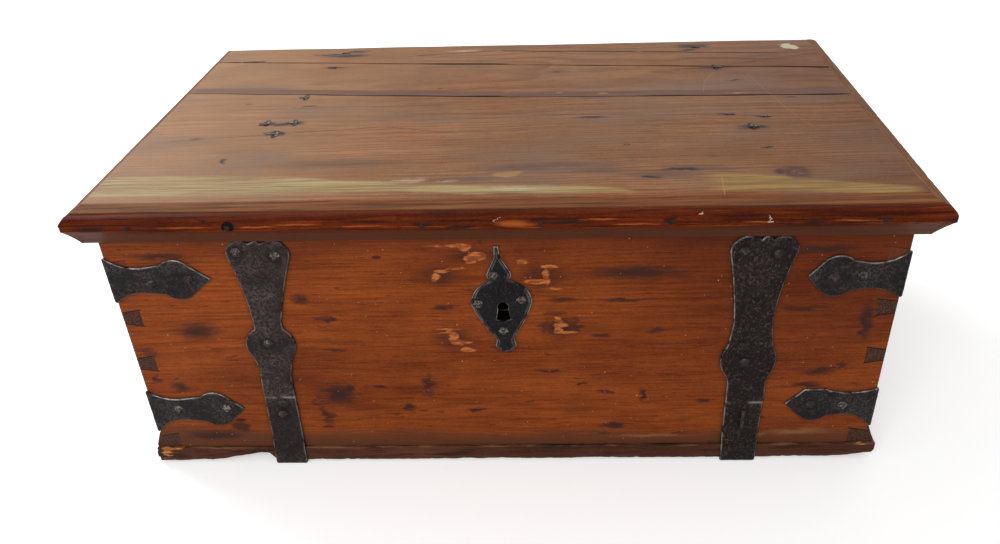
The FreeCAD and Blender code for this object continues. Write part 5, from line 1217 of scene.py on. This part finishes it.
def moulding_section(depth, lip_in, lip_out):
    """The strip's section: out from the joint with the boards, then the height. Closed by its last point."""
    k = depth / MOULD_FRONT
    top = lid_top - MOULD_DROP
    nose_top, nose_low = lid_top - NOSE_TOP, lid_top - NOSE_TOP - NOSE_H
    flat, quirk, foot = MOULD_FLAT * k, (MOULD_FLAT + QUIRK_W) * k, rim_z - LIP_DROP
    arris = NOSE_ARRIS * k
    hollow = (lip_out + 0.42 * (depth - lip_out), (nose_low + foot) / 2 - arris / 2)
    ovolo = (depth - 0.28 * (depth - flat), top - OVOLO_DROP)
    line_in = np.linspace(0.0, flat - 0.5 * k * MM, 7)
    pieces = [
        [(0.0, rim_z)], np.stack([line_in, np.full(7, top)], axis=-1),
        [(flat, top - 0.4 * MM), (flat + 0.1 * k * MM, top - QUIRK_D)],
        [(quirk - 0.1 * k * MM, top - QUIRK_D), (quirk, top - OVOLO_START)],
        arc((quirk, top - OVOLO_START), ovolo, (depth, nose_top), 10),
        np.stack([np.full(3, depth), np.linspace(nose_top, nose_low + arris, 4)[1:]], axis=-1),
        [(depth - arris, nose_low)], arc((depth - arris, nose_low), hollow, (lip_out, foot), 9),
        [((lip_in + lip_out) / 2, foot), (lip_in, foot)],
    ]
    if lip_in > 0.0:
        pieces.append([(lip_in, rim_z)])
    return np.concatenate([np.asarray(p, dtype=float) for p in pieces])


def moulding_surface(depth, lip_in, lip_out, start, end, place, rows, seed):
    """Rows go along the strip; the columns go round its section. start and end give where a row of the
    section begins and stops at each depth, so that the mitres come out of the same sweep. The nose and
    the round are bitten by nicks and pulled about by long waves."""
    section = moulding_section(depth, lip_in, lip_out)
    share = np.linspace(0.0, 1.0, rows)[:, None]
    u, z = section[:, 0][None, :], section[:, 1][None, :]
    run = start(u) + share * (end(u) - start(u))
    outer = np.clip((u - 0.35 * depth) / (0.65 * depth), 0.0, 1.0) * (z > rim_z - LIP_DROP * 0.8)
    bite = nicks(run, seed, 60, 4.0 * MM, 0.5 * MM) + np.abs(ripples(run, z * 4.0, seed, 24 * MM, 0.22 * MM))
    low_edge = np.exp(-((z - (lid_top - NOSE_TOP - NOSE_H)) / (1.6 * MM)) ** 2)
    bite = outer * bite * (0.6 + low_edge)
    top_face = (z > lid_top - 2.4 * MM) & (u < 0.9 * depth)
    sink = top_face * (0.12 * MM + np.abs(ripples(run, u, seed + 1, 60 * MM, 0.15 * MM)))
    return on_lid(place(u - bite, run, z - sink)), loop_faces(rows, section.shape[0])


def on_moulding(*places):
    """Spots on the front strip of the moulding, each x, z and half sizes."""
    return [((x, -245, z), (w, 300, h)) for x, z, w, h in places]


MOULD_DARK = on_moulding(
    (-242, 313, 9, 6.5), (-336, 313.5, 5, 3.5), (-266, 318, 4, 2), (-66, 314, 14, 3.5),
    (-30, 311, 20, 2), (38, 317, 5, 2.5), (60, 315, 26, 3), (151, 316, 6.5, 4), (275, 311.5, 17, 4.5),
    (250, 310, 30, 1.6), (310, 311, 30, 1.4), (333, 314.5, 9, 2.5), (-372, 312, 22, 5),
    (-300, 309.5, 40, 1.4), (-150, 310, 60, 1.6), (95, 309, 40, 1.6), (366, 309, 22, 2.5),
    (390, 312, 10, 7), (-110, 317, 30, 1.4), (215, 318, 40, 1.2),
)
MOULD_BRIGHT = on_moulding(
    (17, 313.5, 22, 4.5), (30, 309, 16, 1.6), (-286, 313.5, 34, 1.1), (-218, 313.2, 28, 1.3),
    (-180, 315, 30, 0.9), (200, 308.8, 64, 0.9), (372, 308.6, 14, 1.2), (-240, 309.0, 60, 0.8),
    (120, 312, 30, 1.0), (225, 313, 16, 0.9), (-20, 309, 12, 1.2), (305, 313.5, 22, 1.0),
    (320, 310.2, 18, 0.8), (90, 316.5, 20, 0.9), (-120, 313, 26, 0.9),
)
MOULD_SCRATCHED = on_moulding(
    (234, 315.5, 1.3, 3.0), (238, 313, 2.4, 0.8), (178, 319.5, 2.4, 0.7), (2, 317, 1.2, 1.8),
)


def moulding_marks(place, ragged, normal, colour, height):
    """Dark and pale streaks, dirt along the foot, a bleached flat, and the knocks and rubs of the nose."""
    parts = split(place)
    streaks = noise(stretched(place, (7, 200, 420)), 1.0, 4.0, 0.7)
    colour = blend(ramp(streaks, 0.5, 0.66, 0.0, 0.75), colour, srgb(40, 17, 11))
    colour = blend(ramp(streaks, 0.40, 0.30, 0.0, 0.7), colour, srgb(140, 68, 28))
    low = ramp(parts[2], 0.3085, 0.3005, 0.0, 0.85)
    colour = blend(low, colour, blend(streaks, srgb(52, 28, 18), srgb(98, 62, 44)))
    level_y = parts[0] * (-math.tan(LID_SKEW)) + parts[1]
    quirk_y = front_face - MOULD_FLAT - QUIRK_W
    flat = ramp(level_y, quirk_y, quirk_y + 1.2 * MM, 0.0, 0.85) * ramp(parts[2], 0.316, 0.319)
    colour = blend(flat, colour, blend(ramp(streaks, 0.3, 0.7), srgb(138, 90, 58), srgb(84, 52, 34)))
    little = place + (ragged - place) * (1.0, 0.3, 0.22)
    dark = spots(little, MOULD_DARK, 0.8)
    colour = blend(dark * 0.85, colour, srgb(40, 24, 20))
    colour = spotted(colour, little, MOULD_BRIGHT, 0.8, 0.8, 158, 80, 33)
    colour = spotted(colour, little, MOULD_SCRATCHED, 0.4, 0.7, 196, 172, 156)
    round_nail = spots(place, on_moulding((-242, 313, 6.5, 5.5)), 0.15)
    return blend(round_nail, colour, srgb(20, 14, 13)), dark * (-1.2) + height


moulding_pine = varnished_pine("moulding_pine", (0, 2, 1), 53.0, (54, 21, 11), (124, 51, 20), moulding_marks,
                               shine=0.02)
side_moulding_pine = varnished_pine("side_moulding_pine", (1, 2, 0), 59.0, (92, 58, 38), (142, 98, 66),
                                    shine=0.045)


def along_front(u, run, z):
    return np.stack(np.broadcast_arrays(run, -u, z), axis=-1)


def mitre_left(u):
    return LID_LEFT - u * MOULD_LEFT / MOULD_FRONT


def mitre_right(u):
    return LID_RIGHT + u * MOULD_RIGHT / MOULD_FRONT


MOULD_CREASE = 28.0                       # degrees between faces that make a crisp edge
front_strip = moulding_surface(MOULD_FRONT, LIP_IN, LIP_OUT, mitre_left, mitre_right, along_front, 521, 8)
new_piece("lid_moulding_front", "_worn", [front_strip], moulding_pine, "lid",
          sharp=MOULD_CREASE)
END_STRIPS = (("left", LID_LEFT, -1.0, MOULD_LEFT, LID_DEEP[0], 9),
              ("right", LID_RIGHT, 1.0, MOULD_RIGHT, LID_DEEP[2], 10))
for side, end_x, outward, width, back, seed in END_STRIPS:
    strip = moulding_surface(
        width, 0.0, SIDE_LIP, lambda u: -u * MOULD_FRONT / width, lambda u: u * 0.0 + back,
        lambda u, run, z: np.stack(np.broadcast_arrays(end_x + outward * u, run, z), axis=-1), 241, seed)
    new_piece("lid_moulding_" + side, "_worn", [strip], side_moulding_pine, "lid",
              sharp=MOULD_CREASE)

# ======================================================================= floor and light
# A white studio floor, a large soft lamp above and behind on the left, and an even pale surround.
FLOOR_HALF = 60.0


def seen_plainly(tree):
    """1 for what is looked at, or seen in metal or through glass, and 0 for the light that falls on things."""
    path = flows(tree.nodes.new("ShaderNodeLightPath"))
    either = greater(path["Is Camera Ray"], path["Is Glossy Ray"])
    return greater(either, path["Is Transmission Ray"])


floor_mesh = bpy.data.meshes.new("floor")
corners = [(-1, -1), (1, -1), (1, 1), (-1, 1)]
floor_mesh.from_pydata([(x * FLOOR_HALF, y * FLOOR_HALF, 0.0) for x, y in corners], [], [(0, 1, 2, 3)])
floor = bpy.data.objects.new("floor", floor_mesh)
bpy.context.scene.collection.objects.link(floor)
floor_paint, tree, shader, place, _ = new_material("floor_paint")
shader.inputs["Base Color"].default_value = (0.92, 0.92, 0.92, 1.0)
shader.inputs["Roughness"].default_value = 0.9
glow_there = ramp(reckon("LENGTH", place), 1.2, 5.0, 0.36, 0.62)
glow = add("ShaderNodeEmission", {"Strength": seen_plainly(tree) * glow_there})
both = add("ShaderNodeAddShader", {0: Flow(shader.outputs[0]), 1: Flow(glow.outputs[0])})
surface = next(n for n in tree.nodes if n.type == "OUTPUT_MATERIAL")
connect(surface.inputs, {"Surface": Flow(both.outputs[0])})
floor_mesh.materials.append(floor_paint)

world = bpy.data.worlds.new("studio")
world.use_nodes = True
bpy.context.scene.world = world
connect(world.node_tree.nodes["Background"].inputs,
        {"Color": (1.0, 1.0, 1.0, 1.0), "Strength": seen_plainly(world.node_tree) * 0.45 + 0.55})


def soft_lamp(name, place, target, size, power):
    lamp = bpy.data.objects.new(name, bpy.data.lights.new(name, "AREA"))
    lamp.data.shape = "RECTANGLE"
    lamp.data.size, lamp.data.size_y = size
    lamp.data.energy = power
    lamp.location = place
    lamp.rotation_euler = (Vector(target) - Vector(place)).to_track_quat("-Z", "Y").to_euler()
    bpy.context.scene.collection.objects.link(lamp)


soft_lamp("window", (-1.9, 1.6, 2.2), (0.0, 0.0, 0.2), (1.8, 1.4), 60.0)
soft_lamp("front_fill", (-0.8, -2.6, 1.7), (0.0, 0.0, 0.15), (2.2, 1.6), 45.0)
